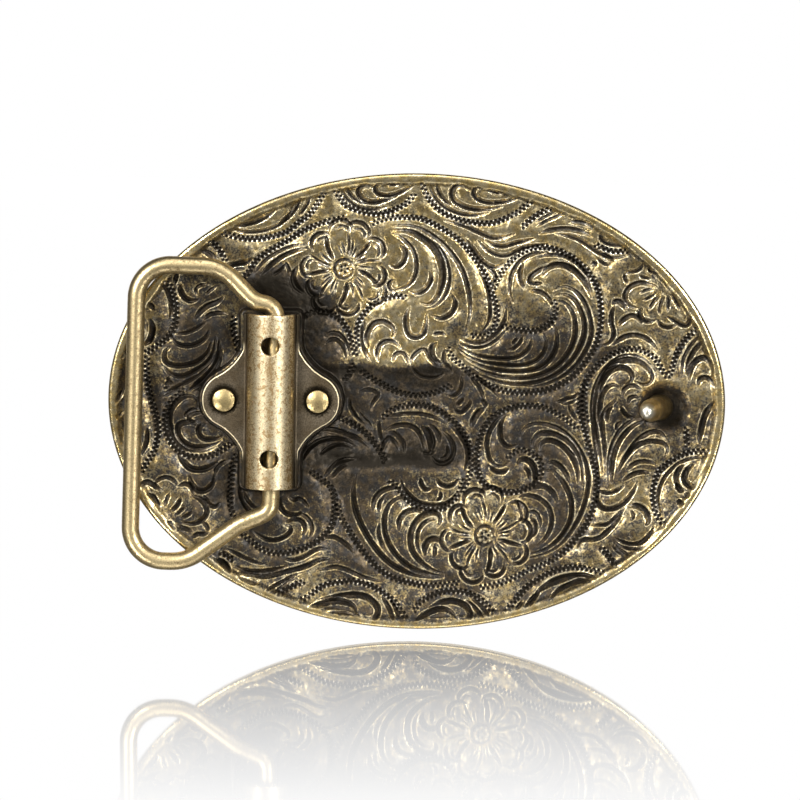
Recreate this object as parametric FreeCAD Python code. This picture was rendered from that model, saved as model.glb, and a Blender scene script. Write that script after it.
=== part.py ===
import FreeCAD, Part
import math
import os

# Oval western belt buckle, as worn: a dished cast plate, a hinge bracket riveted to its back,
# a wire bail that swings in the bracket and takes the belt's fold, and a prong for the belt's holes.
# Frame: +X towards the prong, +Z up, -Y towards the wearer. The plate's rim rests on y = 0.
# All lengths are millimetres and all angles are degrees.

# Plate
OVAL_LENGTH = 95.0
OVAL_HEIGHT = 70.4
RIM_WIDTH = 1.7
RIM_STEP = 0.32
DISH_DEPTH = 3.2
EDGE_ROUND = 0.5
EDGE_FRONT = 2.5
BORDER_WIDTH = 3.2
BORDER_TOP = 3.3
FRONT_SHOULDER = 2.85
FRONT_CROWN = 5.9

# Hinge bracket, measured from the axis of its barrel
HINGE_X = -22.45
SHEET = 0.9
BARREL_LENGTH = 26.8
BARREL_RADIUS = 3.8
BARREL_CENTRE_Y = -1.5
FLANGE_HALF = 4.3
EAR_START_Z = 7.8
EAR_LOBE_X = 6.4
EAR_LOBE_RADIUS = 4.15
EAR_SHOULDER_RADIUS = 8.7
LOOK_HOLE_RADIUS = 1.4
LOOK_HOLE_Z = 8.65

# Cast boss that carries the bracket
BOSS_MARGIN = 0.6
BOSS_DEPTH = 3.5
BOSS_CORNER = 2.2
BOSS_END_MARGIN = 0.75

# Rivets
RIVET_OFFSET = 7.2
RIVET_SHANK_RADIUS = 1.2
RIVET_HEAD_RADIUS = 1.75
RIVET_HEAD_SIDE = 0.5
RIVET_HEAD_DOME = 0.35
RIVET_DEPTH = 2.9
DIMPLE_RADIUS = 2.6
DIMPLE_DEPTH = 0.15

# Prong
PRONG_X = 37.5
PRONG_Z = -0.3
PRONG_LEAN = 17.5
PRONG_RADIUS = 1.75
PRONG_ROOT_RADIUS = 2.1
PRONG_ROOT = -0.5
PRONG_FLARE = 2.0
PRONG_STRAIGHT = 5.6
PRONG_LENGTH = 9.4
PRONG_TIP_RADIUS = 1.15
PIT_RADIUS = 3.9
PIT_DEPTH = 0.85
PIT_CENTRE_X = 38.3

# Bail, in its own frame: the axle lies on its v axis and the bar at u = -BAIL_REACH
WIRE_RADIUS = 1.35
BAIL_REACH = 21.4
BAIL_HALF_WIDTH = 22.8
BAIL_CORNER = 5.2
UPPER_AXLE_END = 15.15
LOWER_AXLE_END = 13.2
AXLE_BEND = 2.2
# Heading, slope and reach of each arm, in degrees and millimetres
UPPER_ARM = (8.0, 45.0, 4.3)
LOWER_ARM = (24.0, 37.0, 5.0)
ARM_BEND = 4.0
SHOULDER_BEND = 7.0
WIRE_GAP = 0.6
AXLE_Y = -2.2
BAIL_TILT = 1.0
BAIL_CENTRE_X = -22.0
BAIL_CENTRE_Z = -2.35

OUT = "parts"
Y_AXIS = FreeCAD.Vector(0, 1, 0)
Z_AXIS = FreeCAD.Vector(0, 0, 1)


def point(x, y, z):
    """A point of the buckle's frame."""
    return FreeCAD.Vector(x, y, z)


def arc(start, middle, end):
    """An arc edge through three points."""
    return Part.Arc(start, middle, end).toShape()


def line(start, end):
    """A straight edge."""
    return Part.makeLine(start, end)


def bar(radius, start, direction, length):
    """A round solid bar."""
    return Part.makeCylinder(radius, length, start, direction)


def cap_height(radius, edge_radius, edge_y, axis_y):
    """Height at a radius of the ball cap that meets the axis squarely and passes through an edge."""
    rise = edge_y - axis_y
    ball = (edge_radius ** 2 + rise ** 2) / (2.0 * abs(rise))
    return axis_y + math.copysign(ball - math.sqrt(ball ** 2 - radius ** 2), rise)


def plate_profile():
    """Half section of the plate across its short axis, in the plane x = 0."""
    half = OVAL_HEIGHT / 2.0
    rim_in = half - RIM_WIDTH
    border_in = half - BORDER_WIDTH
    half_turn = EDGE_ROUND * (1.0 - math.sqrt(0.5))
    dish_middle = cap_height(rim_in / 2.0, rim_in, RIM_STEP, DISH_DEPTH)
    crown_middle = cap_height(border_in / 2.0, border_in, FRONT_SHOULDER, FRONT_CROWN)

    def at(radius, y):
        return point(0, y, radius)

    edges = [
        arc(at(0, DISH_DEPTH), at(rim_in / 2.0, dish_middle), at(rim_in, RIM_STEP)),
        line(at(rim_in, RIM_STEP), at(rim_in, 0)),
        line(at(rim_in, 0), at(half - EDGE_ROUND, 0)),
        arc(at(half - EDGE_ROUND, 0), at(half - half_turn, half_turn), at(half, EDGE_ROUND)),
        line(at(half, EDGE_ROUND), at(half, EDGE_FRONT - EDGE_ROUND)),
        arc(at(half, EDGE_FRONT - EDGE_ROUND), at(half - half_turn, EDGE_FRONT - half_turn),
            at(half - EDGE_ROUND, EDGE_FRONT)),
        line(at(half - EDGE_ROUND, EDGE_FRONT), at(border_in, BORDER_TOP)),
        line(at(border_in, BORDER_TOP), at(border_in, FRONT_SHOULDER)),
        arc(at(border_in, FRONT_SHOULDER), at(border_in / 2.0, crown_middle), at(0, FRONT_CROWN)),
        line(at(0, FRONT_CROWN), at(0, DISH_DEPTH)),
    ]
    return Part.Face(Part.Wire(edges))


def oval_shell():
    """The dished oval: the half section turned about Y, then stretched to the oval's length."""
    turned = plate_profile().revolve(point(0, 0, 0), Y_AXIS, 360)
    stretch = FreeCAD.Matrix()
    stretch.scale(OVAL_LENGTH / OVAL_HEIGHT, 1, 1)
    return turned.transformGeometry(stretch)


def shoulder_centre(lobe_radius, shoulder_radius, half_width):
    """Centre of the hollow shoulder arc that starts on the flange and touches the lobe."""
    start_x = half_width
    start_z = EAR_START_Z
    reach = lobe_radius + shoulder_radius
    run_x = EAR_LOBE_X - start_x
    run_z = -start_z
    gap = math.hypot(run_x, run_z)
    along = (shoulder_radius ** 2 - reach ** 2 + gap ** 2) / (2.0 * gap)
    aside = math.sqrt(shoulder_radius ** 2 - along ** 2)
    centre_x = start_x + (along * run_x - aside * run_z) / gap
    centre_z = start_z + (along * run_z + aside * run_x) / gap
    return centre_x, centre_z


def ear_edges(side, half_width, lobe_radius, shoulder_radius):
    """Edges of one ear's outline from its upper to its lower end; side is 1 or -1."""
    centre_x, centre_z = shoulder_centre(lobe_radius, shoulder_radius, half_width)
    share = lobe_radius / (lobe_radius + shoulder_radius)
    touch_x = EAR_LOBE_X + (centre_x - EAR_LOBE_X) * share
    touch_z = centre_z * share
    start = math.atan2(EAR_START_Z - centre_z, half_width - centre_x)
    end = math.atan2(touch_z - centre_z, touch_x - centre_x)
    middle = 0.5 * (start + end)
    middle_x = centre_x + shoulder_radius * math.cos(middle)
    middle_z = centre_z + shoulder_radius * math.sin(middle)

    def at(x, z):
        return point(HINGE_X + side * x, 0, z)

    upper = arc(at(half_width, EAR_START_Z), at(middle_x, middle_z), at(touch_x, touch_z))
    lobe = arc(at(touch_x, touch_z), at(EAR_LOBE_X + lobe_radius, 0), at(touch_x, -touch_z))
    lower = arc(at(touch_x, -touch_z), at(middle_x, -middle_z), at(half_width, -EAR_START_Z))
    return [upper, lobe, lower]


def ears_outline(half_width, half_length, lobe_radius, shoulder_radius):
    """Closed outline of the bracket's flat blank, with a rounded ear on each side."""

    def at(x, z):
        return point(HINGE_X + x, 0, z)

    right = ear_edges(1, half_width, lobe_radius, shoulder_radius)
    left = ear_edges(-1, half_width, lobe_radius, shoulder_radius)
    edges = [line(at(-half_width, half_length), at(half_width, half_length)),
             line(at(half_width, half_length), at(half_width, EAR_START_Z))]
    edges += right
    edges += [line(at(half_width, -EAR_START_Z), at(half_width, -half_length)),
              line(at(half_width, -half_length), at(-half_width, -half_length)),
              line(at(-half_width, -half_length), at(-half_width, -EAR_START_Z))]
    edges += left
    edges += [line(at(-half_width, EAR_START_Z), at(-half_width, half_length))]
    return Part.Wire(Part.__sortEdges__(edges))


def hinge_boss():
    """The boss cast on the plate's back, a little wider than the bracket that sits on it."""
    outline = ears_outline(FLANGE_HALF + BOSS_MARGIN, BARREL_LENGTH / 2.0 + BOSS_END_MARGIN,
                           EAR_LOBE_RADIUS + BOSS_MARGIN, EAR_SHOULDER_RADIUS - BOSS_MARGIN)
    boss = Part.Face(outline).extrude(point(0, BOSS_DEPTH, 0))
    half_length = BARREL_LENGTH / 2.0 + BOSS_END_MARGIN
    corners = [edge for edge in boss.Edges
               if edge.Length > BOSS_DEPTH - 0.01
               and abs(abs(edge.CenterOfMass.z) - half_length) < 0.01
               and abs(edge.CenterOfMass.y - BOSS_DEPTH / 2.0) < 0.01
               and abs(abs(edge.CenterOfMass.x - HINGE_X) - FLANGE_HALF - BOSS_MARGIN) < 0.01]
    return boss.makeFillet(BOSS_CORNER, corners)


def prong_direction():
    """Unit vector along the prong, out of the plate and leaning towards the hinge."""
    lean = math.radians(PRONG_LEAN)
    return point(-math.sin(lean), -math.cos(lean), 0)


def pit_floor_y():
    """Height of the dish's floor where the prong stands, at the bottom of its pit."""
    rim_in = OVAL_LENGTH / 2.0 - RIM_WIDTH * OVAL_LENGTH / OVAL_HEIGHT
    share = PIT_CENTRE_X / rim_in
    return DISH_DEPTH - (DISH_DEPTH - RIM_STEP) * share ** 2 + PIT_DEPTH


def prong_base():
    """Point on the prong's axis at the bottom of its pit."""
    return point(PRONG_X, pit_floor_y(), PRONG_Z)


def prong_pit():
    """The smooth round hollow around the prong's root."""
    ball_radius = (PIT_RADIUS ** 2 + PIT_DEPTH ** 2) / (2.0 * PIT_DEPTH)
    return Part.makeSphere(ball_radius, point(PIT_CENTRE_X, pit_floor_y() - ball_radius, PRONG_Z))


def make_plate():
    """The cast plate: dished oval, hinge boss, rivet holes and the prong's pit and socket."""
    plate = oval_shell().fuse(hinge_boss()).cut(prong_pit())
    for side in (-1, 1):
        foot = point(HINGE_X + side * RIVET_OFFSET, 0, 0)
        plate = plate.cut(bar(RIVET_SHANK_RADIUS, foot, Y_AXIS, RIVET_DEPTH))
    out = prong_direction()
    socket_start = prong_base() + out * PRONG_ROOT
    plate = plate.cut(bar(PRONG_ROOT_RADIUS, socket_start, out, PIT_RADIUS))
    return plate.removeSplitter()


def barrel_section():
    """Cross-section of the bracket's barrel: an arch of sheet with two straight legs."""
    inner = BARREL_RADIUS - SHEET

    def at(x, y):
        return point(HINGE_X + x, y, -BARREL_LENGTH / 2.0)

    edges = [
        line(at(BARREL_RADIUS, 0), at(BARREL_RADIUS, BARREL_CENTRE_Y)),
        arc(at(BARREL_RADIUS, BARREL_CENTRE_Y), at(0, BARREL_CENTRE_Y - BARREL_RADIUS),
            at(-BARREL_RADIUS, BARREL_CENTRE_Y)),
        line(at(-BARREL_RADIUS, BARREL_CENTRE_Y), at(-BARREL_RADIUS, 0)),
        line(at(-BARREL_RADIUS, 0), at(-inner, 0)),
        line(at(-inner, 0), at(-inner, BARREL_CENTRE_Y)),
        arc(at(-inner, BARREL_CENTRE_Y), at(0, BARREL_CENTRE_Y - inner), at(inner, BARREL_CENTRE_Y)),
        line(at(inner, BARREL_CENTRE_Y), at(inner, 0)),
        line(at(inner, 0), at(BARREL_RADIUS, 0)),
    ]
    return Part.Face(Part.Wire(edges))


def make_bracket():
    """The hinge bracket: flat ears, the barrel's arch, two look holes and two rivet holes."""
    outline = ears_outline(FLANGE_HALF, BARREL_LENGTH / 2.0, EAR_LOBE_RADIUS, EAR_SHOULDER_RADIUS)
    blank = Part.Face(outline).extrude(point(0, -SHEET, 0))
    inner = BARREL_RADIUS - SHEET
    tunnel = Part.makeBox(2 * inner, SHEET, BARREL_LENGTH,
                          point(HINGE_X - inner, -SHEET, -BARREL_LENGTH / 2.0))
    arch = barrel_section().extrude(point(0, 0, BARREL_LENGTH))
    bracket = blank.cut(tunnel).fuse(arch).removeSplitter()
    for height in (LOOK_HOLE_Z, -LOOK_HOLE_Z):
        mouth = point(HINGE_X, BARREL_CENTRE_Y - 2 * BARREL_RADIUS, height)
        bracket = bracket.cut(bar(LOOK_HOLE_RADIUS, mouth, Y_AXIS, 2 * BARREL_RADIUS))
    for side in (-1, 1):
        foot = point(HINGE_X + side * RIVET_OFFSET, -SHEET, 0)
        bracket = bracket.cut(bar(RIVET_SHANK_RADIUS, foot, Y_AXIS, SHEET))
        dimple = Part.makeCone(DIMPLE_RADIUS, RIVET_HEAD_RADIUS, DIMPLE_DEPTH, foot, Y_AXIS)
        bracket = bracket.cut(dimple)
    return bracket


def make_rivet(side):
    """One rivet: a shank through the ear into the boss, and a low domed head."""
    seat = -SHEET + DIMPLE_DEPTH
    edge = seat - RIVET_HEAD_SIDE
    crown = edge - RIVET_HEAD_DOME
    x = HINGE_X + side * RIVET_OFFSET

    def at(radius, y):
        return point(x + radius, y, 0)

    dome_middle = cap_height(RIVET_HEAD_RADIUS / 2.0, RIVET_HEAD_RADIUS, edge, crown)
    edges = [
        line(at(0, crown), at(0, RIVET_DEPTH)),
        line(at(0, RIVET_DEPTH), at(RIVET_SHANK_RADIUS, RIVET_DEPTH)),
        line(at(RIVET_SHANK_RADIUS, RIVET_DEPTH), at(RIVET_SHANK_RADIUS, seat)),
        line(at(RIVET_SHANK_RADIUS, seat), at(RIVET_HEAD_RADIUS, seat)),
        line(at(RIVET_HEAD_RADIUS, seat), at(RIVET_HEAD_RADIUS, edge)),
        arc(at(RIVET_HEAD_RADIUS, edge), at(RIVET_HEAD_RADIUS / 2.0, dome_middle), at(0, crown)),
    ]
    return Part.Face(Part.Wire(edges)).revolve(point(x, 0, 0), Y_AXIS, 360)


def make_prong():
    """The prong: a root in the plate, a flared foot, a straight post and a taper to a round tip."""
    middle = PRONG_TIP_RADIUS * math.sqrt(0.5)
    tip_start = PRONG_LENGTH - PRONG_TIP_RADIUS

    def at(radius, height):
        return point(radius, 0, height)

    edges = [
        line(at(0, PRONG_ROOT), at(PRONG_ROOT_RADIUS, PRONG_ROOT)),
        line(at(PRONG_ROOT_RADIUS, PRONG_ROOT), at(PRONG_ROOT_RADIUS, 0)),
        line(at(PRONG_ROOT_RADIUS, 0), at(PRONG_RADIUS, PRONG_FLARE)),
        line(at(PRONG_RADIUS, PRONG_FLARE), at(PRONG_RADIUS, PRONG_STRAIGHT)),
        line(at(PRONG_RADIUS, PRONG_STRAIGHT), at(PRONG_TIP_RADIUS, tip_start)),
        arc(at(PRONG_TIP_RADIUS, tip_start), at(middle, tip_start + middle), at(0, PRONG_LENGTH)),
        line(at(0, PRONG_LENGTH), at(0, PRONG_ROOT)),
    ]
    prong = Part.Face(Part.Wire(edges)).revolve(point(0, 0, 0), Z_AXIS, 360)
    prong.Placement = FreeCAD.Placement(prong_base(), FreeCAD.Rotation(Z_AXIS, prong_direction()))
    return prong


def turned(origin, heading, length):
    """The point at a distance from another, along a heading counted from +u towards +v."""
    angle = math.radians(heading)
    return origin[0] + length * math.cos(angle), origin[1] + length * math.sin(angle)


def arm_points(axle_end, heading, slope, reach):
    """Corner points of one arm's centre line, from the wire's end inside the barrel to the bar.

    The arm leaves the axle at the heading, and turns to the steeper slope at the reach.
    """
    bend_u = -AXLE_BEND * (1.0 - math.sin(math.radians(heading)))
    bend_v = axle_end + AXLE_BEND * math.cos(math.radians(heading))
    bend_middle = turned((-AXLE_BEND, axle_end), 0.5 * (90.0 - heading), AXLE_BEND)
    turn = slope - heading
    hollow_run = ARM_BEND * (math.sin(math.radians(slope)) - math.sin(math.radians(heading)))
    hollow_start = turned((bend_u, bend_v), 180.0 - heading,
                          (reach + bend_u - hollow_run) / math.cos(math.radians(heading)))
    hollow_centre = turned(hollow_start, 90.0 - heading, ARM_BEND)
    hollow_middle = turned(hollow_centre, 270.0 - heading - turn / 2.0, ARM_BEND)
    hollow_end = turned(hollow_centre, 270.0 - slope, ARM_BEND)
    crest_v = BAIL_HALF_WIDTH - SHOULDER_BEND * (1.0 - math.cos(math.radians(slope)))
    slope_run = (crest_v - hollow_end[1]) / math.sin(math.radians(slope))
    crest_start = turned(hollow_end, 180.0 - slope, slope_run)
    crest_centre = turned(crest_start, 270.0 - slope, SHOULDER_BEND)
    crest_middle = turned(crest_centre, 90.0 - slope / 2.0, SHOULDER_BEND)
    crest_end = turned(crest_centre, 90.0, SHOULDER_BEND)
    corner_centre = (-BAIL_REACH + BAIL_CORNER, BAIL_HALF_WIDTH - BAIL_CORNER)
    corner_start = turned(corner_centre, 90.0, BAIL_CORNER)
    corner_middle = turned(corner_centre, 135.0, BAIL_CORNER)
    corner_end = turned(corner_centre, 180.0, BAIL_CORNER)
    return [("line", (0, WIRE_GAP / 2.0), (0, axle_end)),
            ("arc", (0, axle_end), bend_middle, (bend_u, bend_v)),
            ("line", (bend_u, bend_v), hollow_start),
            ("arc", hollow_start, hollow_middle, hollow_end),
            ("line", hollow_end, crest_start),
            ("arc", crest_start, crest_middle, crest_end),
            ("line", crest_end, corner_start),
            ("arc", corner_start, corner_middle, corner_end),
            ("line", corner_end, (-BAIL_REACH, 0))]


def bail_point(u, v):
    """A point of the bail's own plane in the buckle's frame."""
    tilt = math.radians(BAIL_TILT)
    return point(BAIL_CENTRE_X + u * math.cos(tilt) + v * math.sin(tilt), AXLE_Y,
                 BAIL_CENTRE_Z - u * math.sin(tilt) + v * math.cos(tilt))


def bail_axis():
    """Unit vector along the bail's axle, upwards."""
    tilt = math.radians(BAIL_TILT)
    return point(math.sin(tilt), 0, math.cos(tilt))


def half_path(side):
    """Edges of the centre line of one half of the bail; side is 1 for the upper half."""
    edges = []
    axle_end, arm = (UPPER_AXLE_END, UPPER_ARM) if side > 0 else (LOWER_AXLE_END, LOWER_ARM)
    for kind, *corners in arm_points(axle_end, *arm):
        places = [bail_point(u, side * v) for u, v in corners]
        edges.append(arc(*places) if kind == "arc" else line(*places))
    return edges


def make_bail():
    """The bail: one bent wire whose two ends almost meet inside the bracket's barrel."""
    upper = half_path(1)
    lower = half_path(-1)
    path = Part.Wire(upper + lower[::-1])
    start = bail_point(0, WIRE_GAP / 2.0)
    section = Part.Wire(Part.makeCircle(WIRE_RADIUS, start, bail_axis()))
    return path.makePipeShell([section], True, False)


def save(name, shape):
    """Check one node's solid and write its STEP file."""
    if not shape.isValid() or len(shape.Solids) != 1:
        raise ValueError(name + " isn't one valid solid")
    box = shape.BoundBox
    print(name, "volume", round(shape.Volume, 1), "box",
          [round(value, 2) for value in (box.XMin, box.YMin, box.ZMin, box.XMax, box.YMax, box.ZMax)])
    shape.Solids[0].exportStep(os.path.join(OUT, name + ".step"))


def main():
    os.makedirs(OUT, exist_ok=True)
    nodes = {
        "plate": make_plate(),
        "hinge_bracket": make_bracket(),
        "rivet_left": make_rivet(-1),
        "rivet_right": make_rivet(1),
        "hook_prong": make_prong(),
        "bail": make_bail(),
    }
    for name, shape in nodes.items():
        save(name, shape)


main()
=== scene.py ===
import math

import bpy
import numpy as np
from mathutils import Matrix, Vector


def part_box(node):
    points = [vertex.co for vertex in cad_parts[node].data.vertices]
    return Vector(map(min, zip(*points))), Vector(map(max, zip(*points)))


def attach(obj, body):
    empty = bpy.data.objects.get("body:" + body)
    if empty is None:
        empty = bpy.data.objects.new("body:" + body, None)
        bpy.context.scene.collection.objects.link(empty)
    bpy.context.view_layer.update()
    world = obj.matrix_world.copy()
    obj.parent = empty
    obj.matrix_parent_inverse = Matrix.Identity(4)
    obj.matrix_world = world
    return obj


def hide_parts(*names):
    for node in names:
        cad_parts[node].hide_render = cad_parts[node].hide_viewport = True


# Looks of an oval western belt buckle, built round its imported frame.
# Lengths are millimetres in the frame's axes, and MM turns them into Blender's metres.

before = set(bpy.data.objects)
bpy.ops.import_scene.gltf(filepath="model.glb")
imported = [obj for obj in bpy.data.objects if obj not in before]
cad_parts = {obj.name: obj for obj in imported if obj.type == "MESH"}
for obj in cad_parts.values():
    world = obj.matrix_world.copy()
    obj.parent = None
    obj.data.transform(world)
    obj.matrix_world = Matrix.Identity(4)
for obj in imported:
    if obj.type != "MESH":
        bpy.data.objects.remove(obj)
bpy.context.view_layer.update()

MM = 0.001
EPSILON = 1e-9
FAR = 1e9

# Sizes read from the frame
PLATE_LOW, PLATE_HIGH = (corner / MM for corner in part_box("plate"))
HALF_X = (PLATE_HIGH.x - PLATE_LOW.x) / 2
HALF_Z = (PLATE_HIGH.z - PLATE_LOW.z) / 2
CROWN_Y = PLATE_HIGH.y
HINGE_LOW, HINGE_HIGH = (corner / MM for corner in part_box("hinge_bracket"))
HINGE_X = (HINGE_LOW.x + HINGE_HIGH.x) / 2
PRONG_LOW, PRONG_HIGH = (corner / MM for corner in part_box("hook_prong"))
PRONG_LEAN = 1.3
PIT_CENTRE = (PRONG_HIGH.x - PRONG_LEAN, (PRONG_LOW.z + PRONG_HIGH.z) / 2)

# Plate's back: rounded edge, rim, dish, pit round the prong. Bands are shares of the oval.
EDGE_ROUND = 0.55
RIM_WIDTH = 1.7
RIM_STEP = 0.32
RIM_BAND = (0.955, 0.985)
RIM_FOOT = (0.99, 1.012)
FIELD_BAND = (0.965, 0.995)
DISH_DEPTH = 3.2
PIT_RADIUS = 4.3
PIT_WALL = 2.2
PIT_DEPTH = 0.85

# Boss under the bracket: cells of blur, and how much of the blur makes the boss and the moat round it
BOSS_CELLS = 3
BOSS_COVER = (0.05, 0.22)
MOAT_COVER = (0.0, 0.05)
FOOTPRINT_SLACK = 0.02

# Plate's edge and front: rope border, medallion, and how deep the front is engraved
EDGE_FRONT = 2.5
BORDER_STEP = 0.25
BORDER_WIDTH = 3.2
BORDER_TOP = 3.3
BORDER_BAND = (0.995, 1.01)
ROPE_HEIGHT = 0.75
ROPE_FLOOR = 0.55
ROPE_TURNS = 90
ROPE_LEAN = 2
ROPE_SHINE = (0.7, 1.0)
MEDAL_X = 17.0
MEDAL_Z = 12.5
MEDAL_MARGIN = 1.12
FRONT_SLOPE = 0.42
CORNER_TURNS = range(0, 91, 15)
RIM_SIDE = ((0.0, 1.1), (0.0, 1.8), (0.02, EDGE_FRONT - 0.3), (0.2, EDGE_FRONT),
            (EDGE_ROUND, EDGE_FRONT + BORDER_STEP))
RIM_COUNT = 720

# Relief grid, and casting grain as (cells, height, seed)
CELL = 0.125
BACK_GRAIN = ((1, 0.012, 3), (2, 0.014, 4), (12, 0.05, 5))
FRONT_GRAIN = ((2, 0.008, 6),)

# Lines: distance between points, and curve steps between two given points
LINE_STEP = 0.12
CURVE_STEPS = 24

# Cuts: how they taper, their walls and lips, and how much wider than drawn they are
TAPER_IN = 0.22
TAPER_OUT = 0.3
TAPER_CURVE = 0.6
THIN_END = 0.25
SHALLOW_END = 0.35
WALL_CURVE = 0.85
LIP_REACH = 0.6
LIP_GAP = 0.07
LIP_SPREAD = 0.1
CUT_WIDEN = 1.25
CUT_WIDEN_BY = 0.2
CUT_SLOPE = 0.6
CUT_LIP = 0.09
CUT_SKEW = 0.5

# Pillowed fields between the cuts, as (cells of blur, depth)
PILLOWS = ((4, 0.6), (10, 1.9))

# Beaded borders
BEAD_PITCH = 0.72
BEAD_OFFSET = 0.25
BEAD_BAND = 1.15
BEAD_BAND_DEPTH = 0.1
BEAD_LIP = 0.03
BEAD_PIT_RADIUS = 0.27
BEAD_PIT_DEPTH = 0.3
BEAD_BUMP_RADIUS = 0.24
BEAD_BUMP = 0.14

# Flower: cuts of one lobe as (share of the radius, side) corners with width and depth, and a petal's creases
# as (side, start, end, width)
PETAL_CUTS = (
    (((0.8, -1.0), (0.91, -0.8), (0.99, -0.35), (1.0, 0.15), (0.93, 0.65), (0.8, 1.0)), 0.8, 0.5),
    (((0.74, -0.8), (0.84, -0.6), (0.88, -0.15), (0.83, 0.3)), 0.55, 0.28),
)
CREASES = (
    (-0.5, 0.3, 0.86, 0.75),
    (-0.34, 0.3, 0.56, 0.4),
    (-0.16, 0.29, 0.66, 0.45),
    (0.02, 0.29, 0.84, 0.5),
    (0.18, 0.29, 0.62, 0.4),
    (0.34, 0.3, 0.58, 0.35),
)
LOBE_SHARE = 0.25
PETAL_UNEVEN = 0.09
UNEVEN_PHASE = 2.3
PETAL_SWAY = 22.0
SWAY_PHASE = 1.7
PETAL_LIP = 0.06
CREASE_FAN = (0.7, 0.4)
CREASE_SLOPE = 0.8
CREASE_LIP = 0.04
CREASE_SKEW = 0.2

# Flower's eye: a ring as (radius, width, depth, lip), then dots as (count, distance, radius, depth)
EYE_RING = (1.5, 0.6, 0.38, 0.02)
EYE_DOTS = ((8, 1.05, 0.38, -0.34), (5, 0.5, 0.24, 0.34))

# Hollow pressed into the middle of the back: ends, bottom and top, depth, and tones: patina with painted
# shade just inside its walls, wear with painted light just outside them
HOLLOW_X = (-18.0, -13.0, 2.0, 12.0)
HOLLOW_Z = (-10.2, 5.2)
HOLLOW_DEPTH = 0.5
HOLLOW_WALL = 1.1
HOLLOW_SOFT = 0.7
HOLLOW_WAVE = 0.22
HOLLOW_RIPPLE = 0.6
HOLLOW_SHADE = 2.0
HOLLOW_TONE = 0.8
HOLLOW_GLOW = 2.2
HOLLOW_WEAR_AND_LIGHT = 0.2

# Tone, from 0 for bright brass to 1 for nearly black: painted shade in the prong's pit and in the moat round
# the hinge boss, wear on the rim, the front's patina with painted shade between the rope's strands, and the
# wear on raised edges
PIT_SHADE = 0.85
MOAT_SHADE = 0.6
RIM_WEAR = 0.5
TONE_LIMIT = 1.5
FRONT_TONE = 0.42
ROPE_SHADE = 0.4
EDGE_WEAR = 1.3
EDGE_CELLS = 2
EDGE_RISE = (0.05, 0.16)

# Darker places on the back, lighter where the amount is negative: centre, radii, turn in degrees and how much
# darker. Mostly patina and wear; the back gets lighter towards the top and darker towards the bottom, and the
# ones marked below are painted shade and a painted highlight.
TONE_BASE = 0.74
TONE_FALL = 1.5
TONES = (
    ((-3.0, -2.5), (15.0, 9.0), 0.0, 0.14),
    ((19.0, 4.0), (13.0, 10.0), 0.0, 0.16),
    ((17.0, 9.5), (5.0, 4.0), 30.0, 0.12),
    # Patina and painted shade round the bracket, in these three: under the bail's arm by the barrel's top,
    # beside the boss, and below the barrel
    ((-20.5, 16.0), (6.5, 3.6), -20.0, 0.9),
    ((-15.5, 9.0), (4.0, 7.0), 10.0, 0.45),
    ((-14.0, -11.0), (7.0, 7.0), 20.0, 0.2),
    ((-26.0, 0.0), (13.0, 18.0), 0.0, 0.12),
    ((-41.0, 3.0), (5.0, 10.0), 0.0, 0.06),
    ((-34.0, 3.0), (5.0, 9.0), 0.0, 0.2),
    ((-30.0, -14.0), (6.0, 5.0), 0.0, 0.15),
    ((0.0, 30.0), (46.0, 14.0), 0.0, -0.2),
    ((-3.0, 12.0), (6.0, 7.0), 0.0, -0.3),
    ((-9.0, 20.0), (12.0, 7.0), 0.0, -0.06),
    ((12.0, 20.0), (12.0, 7.0), -20.0, -0.08),
    ((31.0, 14.0), (9.0, 6.0), -40.0, -0.16),
    ((15.0, 4.0), (2.5, 1.5), 20.0, -0.4),
    ((10.5, -20.5), (5.0, 5.0), 0.0, -0.12),
    ((4.0, -16.0), (9.0, 5.0), 0.0, -0.12),
    # Painted highlight: a lighter patch where the slope at the lower right catches the light
    ((36.0, -16.0), (7.0, 5.0), 50.0, -0.12),
    ((2.0, -18.0), (44.0, 16.0), 0.0, 0.14),
    ((0.0, -35.5), (40.0, 4.0), 0.0, 0.1),
    ((-38.0, -13.0), (5.0, 6.0), -30.0, -0.1),
)
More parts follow.
